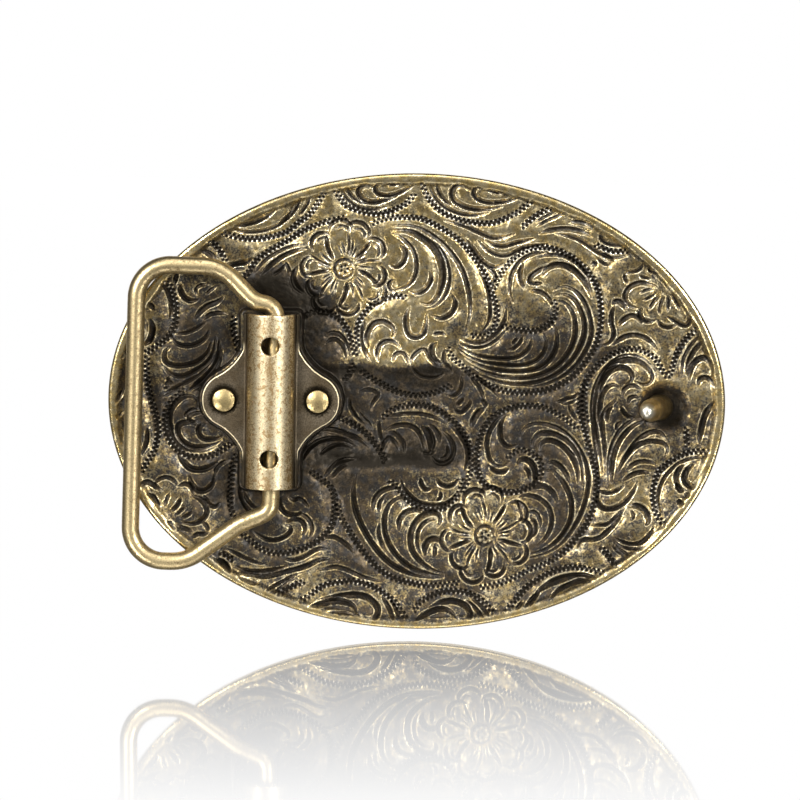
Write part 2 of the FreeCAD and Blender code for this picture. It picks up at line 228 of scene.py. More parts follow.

# Engraving of the plate's back: (x, z) points of smooth lines in millimetres, read stroke by stroke
# off the photographed engraving with a millimetre grid laid over it.
# Each cut is (width, points): a graver's tapered cut, steep on the outside of its bend.
CUTS_TOP_LEFT = (
    (0.5, ((-28.3, 26.7), (-26.5, 27.0), (-24.4, 27.7), (-22.0, 29.3))),
    (0.4, ((-28.9, 26.2), (-27.5, 25.9), (-25.5, 25.8), (-22.8, 26.4), (-20.8, 27.7), (-19.0, 30.6))),
    (0.5, ((-21.6, 27.0), (-19.6, 28.8), (-18.2, 31.2))),
    (0.35, ((-18.5, 28.4), (-17.5, 29.9), (-16.8, 31.3))),
    (0.3, ((-33.7, 22.9), (-32.5, 22.3), (-31.2, 21.2))),
    (0.3, ((-33.0, 23.0), (-31.9, 22.4), (-31.0, 21.5))),
    (0.7, ((-30.0, 19.9), (-29.0, 20.6), (-27.5, 20.9), (-26.4, 21.2), (-25.7, 21.7))),
    (0.4, ((-29.3, 19.4), (-28.0, 20.0), (-26.6, 20.1))),
    (0.65, ((-36.5, 17.5), (-36.6, 16.7), (-36.2, 15.8), (-35.4, 15.2), (-34.6, 15.1), (-33.9, 15.3))),
    (0.35, ((-34.1, 15.9), (-34.2, 16.9), (-33.4, 17.5), (-32.2, 17.6))),
    (0.3, ((-32.6, 16.1), (-31.9, 16.8), (-31.1, 17.4))),
    (0.6, ((-34.3, 12.2), (-33.5, 13.4), (-32.4, 14.3), (-31.0, 14.9), (-29.9, 15.8))),
    (0.45, ((-33.0, 12.2), (-32.0, 13.0), (-30.8, 13.2), (-29.3, 13.1))),
    (0.5, ((-39.5, 17.7), (-38.7, 16.7), (-38.2, 15.4), (-38.0, 14.0), (-38.1, 12.2))),
    (0.45, ((-37.0, 19.2), (-37.3, 18.5), (-37.4, 17.7))),
    (0.5, ((-41.5, 14.7), (-41.0, 14.2), (-40.7, 13.6))),
    (0.35, ((-25.2, 19.6), (-23.6, 21.5), (-21.6, 22.8), (-19.4, 23.7), (-17.2, 23.9))),
    (0.5, ((-24.3, 19.2), (-22.6, 20.9), (-20.6, 22.3), (-18.6, 23.1), (-17.3, 23.3))),
    (0.6, ((-18.6, 20.6), (-19.3, 19.2), (-18.9, 17.6), (-17.7, 16.4))),
    (0.35, ((-20.6, 21.3), (-20.0, 20.0), (-20.0, 18.9))),
    (0.35, ((-22.4, 19.2), (-21.2, 20.1), (-20.6, 20.9))),
)
CUTS_TOP = (
    (0.45, ((-12.2, 32.6), (-11.0, 31.0), (-9.3, 29.9), (-7.0, 29.6), (-4.9, 30.0))),
    (0.45, ((-11.3, 32.8), (-10.3, 31.4), (-9.0, 30.6), (-8.0, 30.4))),
    (0.6, ((-7.2, 32.8), (-8.2, 33.2), (-9.2, 32.8), (-9.4, 32.0), (-8.6, 31.0), (-6.8, 30.7),
           (-3.6, 31.6))),
    (0.5, ((-5.8, 33.5), (-6.7, 33.2), (-6.8, 32.4), (-6.0, 31.8), (-4.0, 31.9), (-1.0, 33.3))),
    (0.35, ((-5.1, 33.4), (-3.2, 33.5))),
    (0.45, ((1.5, 33.5), (2.1, 31.9), (3.8, 30.1), (6.2, 29.1), (8.5, 28.9), (10.6, 29.3))),
    (0.45, ((2.5, 33.6), (3.0, 32.2), (3.8, 31.1), (5.0, 30.2))),
    (0.6, ((7.6, 32.6), (6.6, 33.3), (5.4, 33.2), (4.9, 32.2), (5.5, 30.9), (7.6, 30.0), (10.2, 29.9),
           (12.6, 30.3))),
    (0.5, ((9.5, 33.0), (8.5, 33.0), (8.2, 32.2), (9.0, 31.3), (10.8, 30.9), (13.0, 31.1), (15.3, 31.7))),
    (0.35, ((10.2, 32.8), (11.5, 32.5), (12.9, 32.3))),
    (0.55, ((3.8, 28.0), (6.6, 27.4), (9.4, 26.2), (11.4, 25.5), (13.2, 25.7), (14.7, 26.2))),
    (0.5, ((10.1, 25.1), (11.4, 24.4), (13.0, 24.2), (15.0, 24.8), (17.9, 25.5))),
    (0.45, ((8.9, 25.1), (10.2, 23.8), (11.9, 22.9), (13.6, 22.8), (16.4, 24.1), (20.0, 24.7))),
    (0.55, ((7.2, 25.1), (8.6, 23.2), (10.0, 21.6), (11.6, 20.9), (13.2, 21.6))),
    (0.5, ((10.4, 20.9), (11.5, 20.0), (11.8, 19.1), (11.0, 18.0))),
    (0.55, ((-4.2, 27.0), (-1.8, 27.1), (0.6, 26.4), (3.0, 24.9), (5.0, 22.9), (6.7, 20.3), (7.7, 17.2),
            (8.0, 14.2), (7.7, 12.2), (7.3, 10.8))),
    (0.8, ((-4.2, 26.2), (-1.5, 26.2), (0.8, 25.0), (2.5, 23.4), (3.5, 21.2), (3.7, 18.8), (3.0, 16.4),
           (1.8, 15.1), (0.4, 15.2))),
    (0.45, ((-4.2, 25.9), (-2.6, 25.1), (-1.1, 23.6), (-0.4, 21.6), (-0.6, 19.4), (-1.8, 17.8),
            (-4.0, 17.0))),
    (0.45, ((1.2, 25.3), (3.0, 23.8), (4.3, 21.4), (4.7, 18.8), (4.1, 16.5), (2.8, 15.0), (1.4, 14.2))),
    (0.5, ((1.7, 20.1), (1.9, 18.8), (1.1, 17.4), (-0.2, 16.7), (-1.5, 17.0))),
    (0.55, ((5.3, 16.4), (5.7, 15.0), (5.0, 13.6), (3.6, 12.9), (2.1, 13.3))),
    (0.55, ((-3.0, 24.1), (-2.1, 23.0), (-2.5, 21.4), (-3.6, 20.7), (-4.6, 21.1))),
    (0.4, ((-3.9, 18.9), (-4.6, 18.0), (-4.3, 17.2), (-3.4, 16.8))),
    (0.4, ((9.3, 20.2), (10.4, 18.2), (11.0, 15.8), (11.1, 13.6), (10.8, 12.2), (10.0, 10.9))),
    (0.6, ((-1.3, 14.6), (-1.8, 13.0), (-1.7, 11.2), (-1.1, 10.1), (0.0, 9.9), (0.9, 10.6), (1.2, 12.0),
           (1.3, 13.6))),
    (0.5, ((16.0, 21.6), (15.6, 20.2), (15.8, 18.8), (16.5, 17.5))),
    (0.5, ((20.0, 21.3), (18.3, 20.4), (17.2, 19.4), (17.3, 18.6), (19.0, 18.5))),
    (0.4, ((20.0, 23.3), (18.0, 23.2), (16.2, 22.4), (14.9, 21.0), (14.2, 19.2), (14.1, 17.2),
           (14.6, 15.4))),
)
CUTS_TOP_RIGHT = (
    (0.3, ((17.8, 28.0), (19.2, 28.8), (20.6, 29.6))),
    (0.3, ((17.9, 27.3), (19.5, 28.2), (21.0, 28.9), (22.4, 29.6))),
    (0.55, ((22.9, 28.0), (24.2, 28.1), (25.4, 27.9), (26.3, 27.5), (26.3, 26.7))),
    (0.6, ((18.4, 26.2), (20.4, 26.8), (22.4, 27.0), (24.2, 26.8), (25.6, 26.3), (26.6, 25.7))),
    (0.5, ((20.8, 26.3), (22.8, 26.0), (24.6, 25.4), (26.2, 24.4), (27.6, 23.5), (29.2, 22.9), (30.6, 22.8),
           (32.0, 23.2))),
    (0.55, ((27.7, 26.6), (28.0, 25.6), (28.8, 25.0), (30.0, 24.7), (31.2, 24.5))),
    (0.5, ((28.0, 23.4), (29.0, 22.8), (29.9, 22.2))),
    (0.4, ((27.5, 22.6), (28.3, 21.9), (29.2, 21.5))),
    (0.6, ((26.6, 22.0), (27.3, 21.4))),
    (0.4, ((17.9, 22.4), (19.6, 22.9), (21.6, 22.9), (23.4, 22.3), (24.8, 21.2), (25.8, 19.8),
           (26.8, 17.0))),
    (0.7, ((18.9, 19.6), (19.7, 20.8), (20.9, 21.4), (22.3, 21.4), (23.8, 20.7), (25.0, 19.6), (26.0, 18.1),
           (26.7, 16.4))),
    (0.5, ((17.8, 18.4), (18.9, 18.6))),
    (0.5, ((20.6, 17.4), (21.8, 18.0), (23.0, 18.0), (24.3, 17.3), (25.4, 16.0), (26.2, 14.3), (26.7, 12.4),
           (26.8, 10.6), (26.3, 8.9), (25.4, 7.2), (24.2, 5.6), (22.6, 4.3), (20.8, 3.3), (18.8, 2.7),
           (16.6, 2.5))),
    (0.6, ((20.9, 16.6), (22.0, 16.9), (23.3, 16.6), (24.4, 15.6), (25.2, 14.2), (25.7, 12.4), (25.6, 10.4),
           (24.9, 8.4), (23.8, 6.6), (22.2, 5.0), (20.2, 3.9), (18.2, 3.2), (16.0, 2.9), (13.6, 3.0),
           (11.4, 3.5),
           (9.5, 4.3))),
    (0.6, ((21.2, 15.8), (22.3, 15.7), (23.3, 14.9), (24.0, 13.6), (24.3, 12.0), (24.2, 10.2), (23.6, 8.4),
           (22.6, 6.8), (21.2, 5.4), (19.6, 4.5), (17.8, 4.0), (16.0, 3.8), (14.0, 3.9), (12.0, 4.2),
           (10.0, 4.8),
           (8.4, 5.6))),
    (0.55, ((20.6, 12.6), (21.3, 11.2), (21.5, 9.6), (21.1, 7.8), (20.2, 6.4), (18.8, 5.4), (17.0, 4.9),
            (15.0, 4.8), (13.0, 4.9), (11.0, 5.3), (9.0, 6.0), (7.4, 6.8))),
    (0.45, ((19.2, 11.0), (19.8, 9.6), (19.6, 8.2), (18.8, 6.9), (17.4, 6.1), (15.6, 5.7), (13.4, 5.8),
            (11.4, 6.0), (9.6, 6.4), (8.0, 7.0), (6.6, 7.9))),
    (0.45, ((17.3, 10.5), (17.5, 9.4), (17.0, 8.2), (15.8, 7.2), (14.2, 6.8), (12.2, 6.8), (10.2, 7.0),
            (8.4, 7.5),
            (6.5, 8.5))),
    (0.35, ((16.2, 10.3), (15.8, 9.3), (14.9, 8.4), (13.8, 8.0))),
    (0.35, ((15.4, 10.0), (14.6, 9.0))),
    (0.5, ((6.6, 9.8), (8.4, 9.2), (10.2, 9.3), (11.6, 10.2), (12.7, 11.4), (13.4, 13.0), (13.5, 14.6))),
    (0.45, ((6.4, 9.1), (7.8, 8.6), (9.4, 8.5), (11.0, 9.0), (12.4, 10.0), (13.6, 11.2))),
    (0.5, ((17.2, 17.4), (18.8, 17.2), (20.0, 16.3), (20.7, 15.0))),
    (0.4, ((34.3, 21.9), (34.0, 21.2), (33.3, 20.7), (32.4, 20.6), (31.6, 20.3))),
    (0.45, ((31.6, 20.3), (31.8, 19.4), (32.3, 18.8))),
    (0.3, ((33.8, 20.1), (34.8, 19.7), (35.8, 19.6))),
    (0.4, ((35.2, 21.2), (35.8, 20.4))),
    (0.55, ((36.6, 18.3), (35.4, 18.7), (34.2, 18.9), (33.1, 18.6), (32.2, 17.9), (31.8, 16.9),
            (32.1, 15.9),
            (33.0, 15.2), (34.0, 15.0))),
    (0.3, ((34.0, 17.3), (35.0, 17.8), (36.2, 18.0))),
    (0.3, ((34.6, 16.2), (35.6, 16.8), (36.6, 17.6))),
    (0.35, ((35.5, 14.8), (36.2, 16.0), (37.1, 17.1))),
    (0.35, ((37.1, 14.0), (37.2, 15.4), (37.7, 16.9))),
    (0.35, ((38.3, 14.6), (38.4, 16.0), (38.2, 17.2))),
    (0.35, ((40.1, 14.9), (39.4, 16.3), (38.8, 17.4))),
    (0.55, ((34.4, 15.1), (34.1, 14.2), (34.6, 13.3), (35.7, 13.0), (36.6, 13.3))),
    (0.5, ((36.9, 13.2), (37.6, 12.4), (38.7, 12.2), (39.8, 12.6))),
    (0.55, ((38.3, 13.8), (39.4, 13.3), (40.4, 12.7), (41.2, 12.5), (41.7, 13.2), (41.4, 14.2))),
    (0.65, ((29.9, 15.4), (30.5, 16.0), (31.4, 15.6), (32.0, 14.6))),
    (0.5, ((30.2, 15.4), (29.8, 14.0), (29.8, 12.6), (30.2, 11.0), (29.7, 9.7), (28.6, 9.1))),
    (0.55, ((30.9, 12.2), (31.7, 13.2), (32.8, 13.8), (33.8, 13.5), (34.5, 12.6))),
    (0.55, ((30.0, 9.1), (30.9, 9.9), (32.1, 10.6), (33.4, 10.8), (34.8, 10.5), (36.0, 9.7), (36.9, 8.5))),
)
CUTS_LEFT = (
    (0.65, ((-42.1, 8.1), (-41.3, 8.9), (-40.9, 10.0), (-40.9, 11.2), (-41.3, 12.3))),
    (0.6, ((-45.6, 6.9), (-45.3, 6.0))),
    (0.45, ((-45.1, 1.4), (-45.9, 0.0), (-46.6, -1.1), (-46.7, -1.9))),
    (0.55, ((-45.2, -2.2), (-46.0, -2.9), (-46.7, -3.1), (-46.4, -4.1), (-45.8, -5.0), (-45.4, -6.5),
            (-45.2, -8.2))),
    (0.45, ((-41.5, -4.8), (-41.6, -6.8), (-42.3, -8.7))),
    (0.4, ((-32.8, 11.7), (-34.3, 10.7), (-35.8, 10.1), (-37.3, 9.9))),
    (0.55, ((-37.9, 9.3), (-36.9, 8.4), (-35.4, 8.1), (-33.9, 8.5), (-32.7, 9.4), (-32.1, 10.6))),
    (0.6, ((-38.0, 7.9), (-38.8, 7.3), (-39.0, 6.3), (-38.5, 5.4), (-37.2, 5.0), (-35.6, 5.1), (-34.2, 5.5),
           (-33.0, 6.3), (-32.2, 7.4), (-31.8, 8.8))),
    (0.55, ((-39.0, 5.0), (-38.5, 4.2), (-37.5, 3.5), (-36.2, 3.4), (-34.8, 3.9), (-33.4, 4.8),
            (-32.2, 6.0),
            (-31.4, 7.6), (-31.1, 9.6))),
    (0.4, ((-38.7, 2.8), (-38.0, 3.1))),
    (0.45, ((-38.9, 2.0), (-38.2, 2.4), (-37.8, 2.0))),
    (0.3, ((-39.1, 1.4), (-38.3, 1.7))),
    (0.4, ((-39.0, 0.7), (-37.4, 1.5), (-36.0, 2.2), (-34.5, 3.1), (-33.1, 4.2), (-31.9, 5.6),
           (-31.1, 7.2))),
    (0.3, ((-39.1, 0.1), (-37.5, 1.0), (-36.1, 1.7))),
    (0.7, ((-35.1, 1.2), (-34.0, 2.1), (-32.7, 3.3), (-31.6, 4.8), (-30.9, 6.6), (-30.6, 9.0))),
    (0.4, ((-34.4, 1.1), (-32.9, 1.9), (-31.5, 3.6), (-30.6, 5.6), (-30.2, 8.2))),
    (0.6, ((-33.7, -0.9), (-34.1, -0.1), (-35.0, 0.3), (-36.1, 0.1), (-37.2, -0.8), (-38.0, -2.2),
           (-38.1, -3.9),
           (-37.7, -5.5), (-36.8, -6.9), (-35.4, -7.9), (-33.8, -8.2), (-32.2, -8.0), (-30.9, -7.5))),
    (0.5, ((-33.9, -1.8), (-34.7, -1.9), (-35.4, -2.4), (-35.8, -3.0))),
    (0.4, ((-33.1, -2.3), (-34.2, -2.4), (-35.1, -2.9), (-34.8, -3.5), (-33.8, -3.6))),
    (0.65, ((-33.7, -4.4), (-34.6, -3.9), (-35.7, -3.8), (-36.6, -4.2), (-36.9, -5.1), (-36.5, -6.2),
            (-35.6, -7.1),
            (-34.3, -7.6), (-32.8, -7.6), (-31.3, -7.1), (-30.2, -6.5))),
    (0.6, ((-32.5, -3.9), (-33.4, -4.5), (-33.6, -5.4), (-33.0, -6.2), (-31.9, -6.4), (-30.7, -6.2),
           (-29.9, -5.7))),
    (0.7, ((-36.6, -8.9), (-35.8, -10.0), (-34.7, -10.9), (-33.3, -11.1), (-31.9, -10.7), (-30.6, -9.9))),
    (0.4, ((-31.1, -12.0), (-30.7, -10.8), (-29.8, -10.0), (-28.8, -9.6))),
)
CUTS_CENTRE = (
    (0.45, ((-14.3, 9.8), (-13.3, 10.3), (-12.2, 10.1), (-11.3, 9.2), (-10.7, 7.9), (-10.4, 6.8))),
    (0.4, ((-14.2, 8.6), (-13.5, 9.2), (-12.6, 9.3), (-11.8, 8.7), (-11.2, 7.6), (-10.9, 6.2))),
    (0.55, ((-8.3, 12.4), (-8.5, 10.6), (-8.4, 8.8), (-7.9, 7.3), (-7.1, 6.0))),
    (0.6, ((-7.6, 8.0), (-7.9, 9.5), (-7.5, 11.0), (-6.6, 12.0), (-5.4, 12.2), (-4.2, 11.6),
           (-3.7, 10.6), (-4.1, 9.6))),
    (0.5, ((-6.1, 6.0), (-6.2, 7.2), (-5.9, 8.4), (-5.1, 9.1), (-4.2, 9.2), (-3.3, 8.8), (-2.6, 8.0))),
    (0.4, ((-3.8, 6.0), (-3.5, 7.0), (-2.9, 7.4), (-2.2, 7.3), (-1.7, 6.6), (-1.3, 5.6))),
    (0.4, ((-0.9, 5.3), (-0.9, 6.4), (-0.3, 7.3), (0.5, 7.9), (1.2, 7.9), (1.6, 7.2), (2.2, 6.2),
           (3.2, 5.5),
           (4.2, 5.3))),
    (0.35, ((-0.9, 5.3), (-0.3, 4.5), (0.7, 3.8), (1.9, 3.6), (3.2, 3.7), (4.2, 4.3))),
    (0.4, ((2.3, 10.2), (3.0, 10.5), (3.8, 10.5), (4.3, 10.1))),
    (0.6, ((2.9, 9.1), (2.3, 8.4), (2.2, 7.4), (2.6, 6.6), (3.3, 6.0), (4.0, 5.8))),
    (0.45, ((4.3, 8.1), (4.1, 7.0), (4.2, 6.0), (4.9, 5.3), (5.4, 4.4))),
    (0.4, ((-9.0, 1.1), (-7.8, 1.5), (-6.7, 1.4), (-6.0, 0.8), (-6.4, 0.1), (-6.9, -0.7), (-7.0, -1.7))),
    (0.4, ((-10.5, 0.2), (-10.2, -1.3), (-9.4, -2.6), (-8.3, -3.5), (-7.2, -4.3))),
    (0.35, ((-9.0, -1.9), (-8.3, -2.9), (-7.4, -3.7), (-6.7, -4.7))),
    (0.4, ((-5.8, -3.1), (-5.7, -4.5), (-5.4, -6.0), (-5.0, -7.3))),
    (0.5, ((-14.9, -4.9), (-13.4, -4.7), (-11.9, -5.0), (-10.3, -5.6), (-8.8, -6.2), (-7.4, -7.3))),
    (0.5, ((-18.2, -10.6), (-17.6, -9.2), (-16.6, -7.7), (-15.3, -6.7), (-13.7, -6.2), (-12.0, -6.2),
           (-10.4, -6.6),
           (-8.9, -7.3))),
    (0.4, ((-14.8, -8.6), (-13.5, -7.6), (-12.1, -7.1), (-10.7, -7.2), (-9.7, -7.6))),
    (0.5, ((-14.1, -12.2), (-13.2, -10.9), (-12.1, -9.9), (-10.8, -9.4), (-9.4, -9.2))),
    (0.45, ((-13.0, -12.2), (-12.0, -10.9), (-10.7, -10.1))),
    (0.5, ((-4.9, -4.9), (-3.9, -4.3), (-2.6, -3.9), (-1.2, -3.9), (-0.1, -4.4), (0.7, -5.4),
           (1.1, -6.5), (1.3, -7.8))),
    (0.5, ((-4.4, -5.0), (-3.4, -5.2), (-2.5, -5.9), (-1.9, -6.9), (-1.8, -8.1))),
    (0.4, ((-5.4, -8.2), (-4.9, -6.6), (-4.1, -5.9), (-3.2, -6.7), (-2.7, -7.8))),
    (0.4, ((-4.9, -2.6), (-3.0, -2.3), (-1.0, -2.1), (1.2, -2.2), (3.2, -2.8), (5.0, -3.8))),
    (0.35, ((6.9, 4.0), (6.9, 2.6), (6.5, 1.4), (5.6, 0.8), (4.6, 0.9))),
    (0.45, ((6.0, -0.9), (6.2, -1.5), (7.0, -1.7), (7.8, -1.0), (8.3, -0.2), (8.2, 0.4))),
    (0.4, ((6.2, -0.7), (6.8, -0.1), (7.3, 0.6))),
    (0.4, ((8.2, 3.8), (9.1, 2.9), (9.8, 1.9), (10.2, 0.9), (10.4, 0.1))),
    (0.4, ((8.9, 4.4), (10.4, 2.9), (11.7, 2.0), (12.5, 1.2), (13.2, 0.6))),
    (0.7, ((10.5, -1.0), (9.6, -1.7), (8.9, -2.8), (8.5, -4.2))),
    (0.55, ((2.0, -3.7), (3.0, -4.6), (3.5, -5.6), (3.6, -6.6))),
    (0.9, ((0.8, -4.1), (1.9, -5.1), (2.4, -6.5), (2.3, -8.1))),
    (0.55, ((4.0, -4.7), (5.0, -5.6), (5.7, -6.8), (5.8, -8.0), (5.3, -9.1), (4.3, -9.7), (3.3, -9.5),
            (2.4, -8.6))),
    (0.4, ((4.8, -6.9), (5.0, -8.0), (4.5, -8.8), (3.7, -8.9))),
    (0.4, ((1.1, -8.0), (2.0, -8.2), (2.9, -7.9))),
    (0.55, ((5.2, -3.7), (6.5, -4.9), (7.4, -6.2), (8.0, -7.6), (8.1, -9.2), (7.6, -10.8))),
    (0.5, ((10.0, 0.3), (10.6, -0.4), (10.5, -1.0))),
)
CUTS_RIGHT_CENTRE = (
    (0.45, ((14.5, -1.9), (13.3, -2.3), (12.2, -3.3), (11.4, -4.6), (11.0, -6.2), (11.1, -7.8),
            (11.6, -9.1),
            (12.6, -9.9), (13.8, -9.8), (14.4, -9.3))),
    (0.6, ((11.4, -9.8), (12.4, -10.7), (13.5, -10.8), (14.4, -10.2))),
    (0.55, ((13.6, -2.4), (13.1, -3.4), (13.0, -4.6), (13.2, -5.8), (13.8, -6.6), (14.7, -6.9),
            (15.7, -6.5))),
    (0.5, ((16.1, -6.0), (16.2, -5.0), (16.8, -4.0), (17.8, -3.4), (19.2, -3.2), (20.8, -3.5), (22.4, -4.2),
           (23.8, -5.3), (25.0, -6.7), (25.9, -8.3), (26.5, -10.0), (26.8, -12.0), (26.6, -14.0),
           (26.1, -16.0),
           (25.3, -18.0), (24.2, -19.9), (22.8, -21.6), (21.0, -22.9), (18.8, -23.8), (17.6, -24.1))),
    (0.65, ((18.0, -6.8), (18.2, -5.8), (19.0, -4.9), (20.3, -4.7), (21.8, -5.0), (23.2, -5.8),
            (24.4, -7.1),
            (25.2, -8.6), (25.8, -10.4), (25.9, -12.0))),
    (0.6, ((19.1, -7.3), (19.4, -6.3), (20.4, -5.8), (21.6, -6.0), (22.8, -6.7), (23.8, -7.7), (24.6, -9.0),
           (25.1, -10.6), (25.2, -12.4))),
    (0.65, ((15.8, -9.5), (16.3, -8.9), (17.2, -8.9), (18.0, -9.5), (18.5, -10.5), (18.6, -12.0),
            (18.2, -13.0))),
    (0.4, ((16.8, -10.0), (17.5, -10.8), (17.7, -12.0))),
    (0.55, ((20.4, -9.4), (21.4, -9.2), (22.4, -9.8), (23.3, -10.9), (23.9, -12.4))),
    (0.55, ((20.2, -10.6), (21.2, -10.5), (22.0, -11.2), (23.0, -12.4), (23.9, -14.2), (24.3, -16.0),
            (24.1, -18.0),
            (23.3, -19.8), (22.0, -21.4), (20.2, -22.7), (18.0, -23.4))),
    (0.6, ((18.2, -13.4), (19.2, -12.9), (20.3, -13.1), (21.2, -13.8), (21.8, -14.8), (22.0, -15.5))),
    (0.5, ((15.9, -14.8), (17.0, -14.4), (18.3, -14.5), (19.5, -15.0), (20.5, -15.9), (21.1, -17.2),
           (21.2, -18.6),
           (20.8, -20.0), (20.0, -21.2), (18.8, -22.3))),
    (0.5, ((16.0, -15.1), (16.3, -16.1), (16.7, -16.8))),
    (0.4, ((17.5, -17.1), (18.4, -16.9), (19.1, -17.5), (19.4, -18.6), (19.2, -19.5))),
    (0.6, ((18.0, -17.9), (18.6, -18.8), (18.6, -19.9), (18.0, -20.9))),
    (0.45, ((21.7, 0.2), (22.6, 0.4), (23.4, 0.8), (24.3, 1.0), (24.9, 1.6))),
    (0.35, ((22.4, 0.0), (23.7, 0.1), (24.7, 0.6))),
    (0.4, ((23.6, -0.1), (23.8, -0.9), (24.3, -1.8), (25.1, -2.8))),
)
CUTS_RIGHT = (
    (0.45, ((28.4, -12.2), (28.2, -9.6), (27.8, -6.4), (27.4, -3.2), (27.2, -0.4), (27.5, 2.2), (28.4, 4.4),
            (29.8, 6.2), (31.4, 7.3), (33.2, 7.6), (35.0, 7.0), (36.2, 5.9), (36.9, 4.6), (37.0, 3.9))),
    (0.7, ((29.0, -10.6), (28.6, -7.8), (28.1, -4.8), (27.8, -1.8), (27.9, 0.9), (28.4, 3.0), (29.3, 4.8),
           (30.6, 6.2), (32.4, 6.9), (34.2, 6.7), (35.5, 5.8), (36.2, 4.6), (35.9, 3.6), (34.9, 3.2),
           (33.5, 3.7))),
    (0.6, ((28.3, 1.6), (28.7, 3.5), (29.7, 5.0), (31.1, 5.7), (32.4, 5.5), (33.1, 4.7), (33.0, 3.7),
           (32.1, 3.1))),
    (0.5, ((28.7, -4.4), (28.4, -2.2), (28.4, 0.0), (28.7, 1.5), (29.3, 2.5), (30.2, 3.0), (31.0, 2.8),
           (31.5, 2.1))),
    (0.5, ((29.4, -10.6), (29.3, -7.6), (28.9, -4.6), (28.8, -2.4), (29.2, -1.0), (29.9, -0.1), (30.6, 0.6),
           (30.9, 1.4))),
    (0.4, ((29.4, -2.8), (29.6, -1.2), (30.3, -0.3))),
    (0.45, ((29.8, -12.2), (29.9, -9.0), (30.3, -6.6), (31.2, -4.5), (32.4, -3.1), (33.6, -2.3),
            (34.6, -2.1))),
    (0.55, ((30.3, -12.2), (30.4, -9.2), (30.9, -7.0), (31.7, -5.3), (32.8, -3.9), (34.0, -3.0),
            (35.0, -2.5))),
    (0.45, ((31.8, 1.3), (32.0, 2.3), (32.8, 2.9), (33.8, 2.9), (34.7, 2.3))),
    (0.4, ((32.6, 0.2), (32.9, 1.0), (33.6, 1.3), (34.3, 1.1))),
    (0.45, ((31.4, -0.2), (32.0, -1.1), (32.8, -1.8), (33.7, -2.0))),
    (0.45, ((31.0, -4.1), (31.1, -3.2), (31.8, -2.6))),
    (0.55, ((31.3, -10.4), (32.1, -8.7), (33.2, -6.9), (34.5, -5.3), (35.9, -4.3), (37.3, -4.1),
            (38.3, -4.8),
            (38.8, -5.9))),
    (0.5, ((31.8, -9.4), (33.0, -7.5), (34.4, -6.2), (35.9, -5.6), (37.3, -5.6), (38.4, -6.0), (38.8, -6.9),
           (38.4, -8.1))),
    (0.45, ((32.6, -10.2), (33.8, -9.1), (35.2, -8.7), (36.5, -8.9), (37.4, -9.4))),
    (0.5, ((32.0, -11.8), (33.3, -10.9), (34.8, -10.4), (36.4, -10.5))),
    (0.45, ((28.4, -13.4), (29.4, -13.7), (30.5, -13.6), (31.6, -13.0), (32.3, -12.4))),
    (0.6, ((28.4, -13.6), (28.2, -14.7), (28.6, -15.7), (29.5, -16.2), (30.7, -16.1), (31.9, -15.5),
           (32.9, -14.5),
           (33.7, -13.3), (34.3, -11.9))),
    (0.45, ((27.5, -18.8), (28.6, -18.7), (29.8, -18.5), (30.9, -17.7), (31.8, -16.7), (32.5, -15.8))),
    (0.5, ((25.2, -22.3), (25.7, -21.3), (26.6, -21.0), (27.7, -21.0), (28.9, -20.5), (30.0, -19.5),
           (31.0, -18.4),
           (32.1, -17.0))),
    (0.7, ((33.0, -15.9), (34.0, -15.6), (35.0, -15.9), (35.8, -16.7), (36.1, -17.8), (35.7, -18.6))),
    (0.35, ((33.3, -16.3), (33.8, -17.1), (33.3, -17.9))),
    (0.45, ((31.0, -20.6), (32.1, -21.2), (33.5, -21.5), (34.8, -21.3), (35.8, -20.5), (36.6, -19.4),
            (37.0, -18.3))),
    (0.4, ((31.2, -21.4), (32.4, -22.0), (33.9, -22.2), (35.5, -21.9), (36.7, -20.8), (37.5, -19.7),
           (38.2, -19.2))),
    (0.3, ((30.6, -21.9), (31.5, -22.7), (32.5, -23.4))),
    (0.3, ((31.1, -21.7), (32.0, -22.5), (33.2, -23.3))),
    (0.7, ((40.3, -12.1), (40.9, -12.9), (41.4, -13.3))),
    (0.6, ((40.4, -14.6), (41.0, -15.0), (41.3, -15.7))),
)
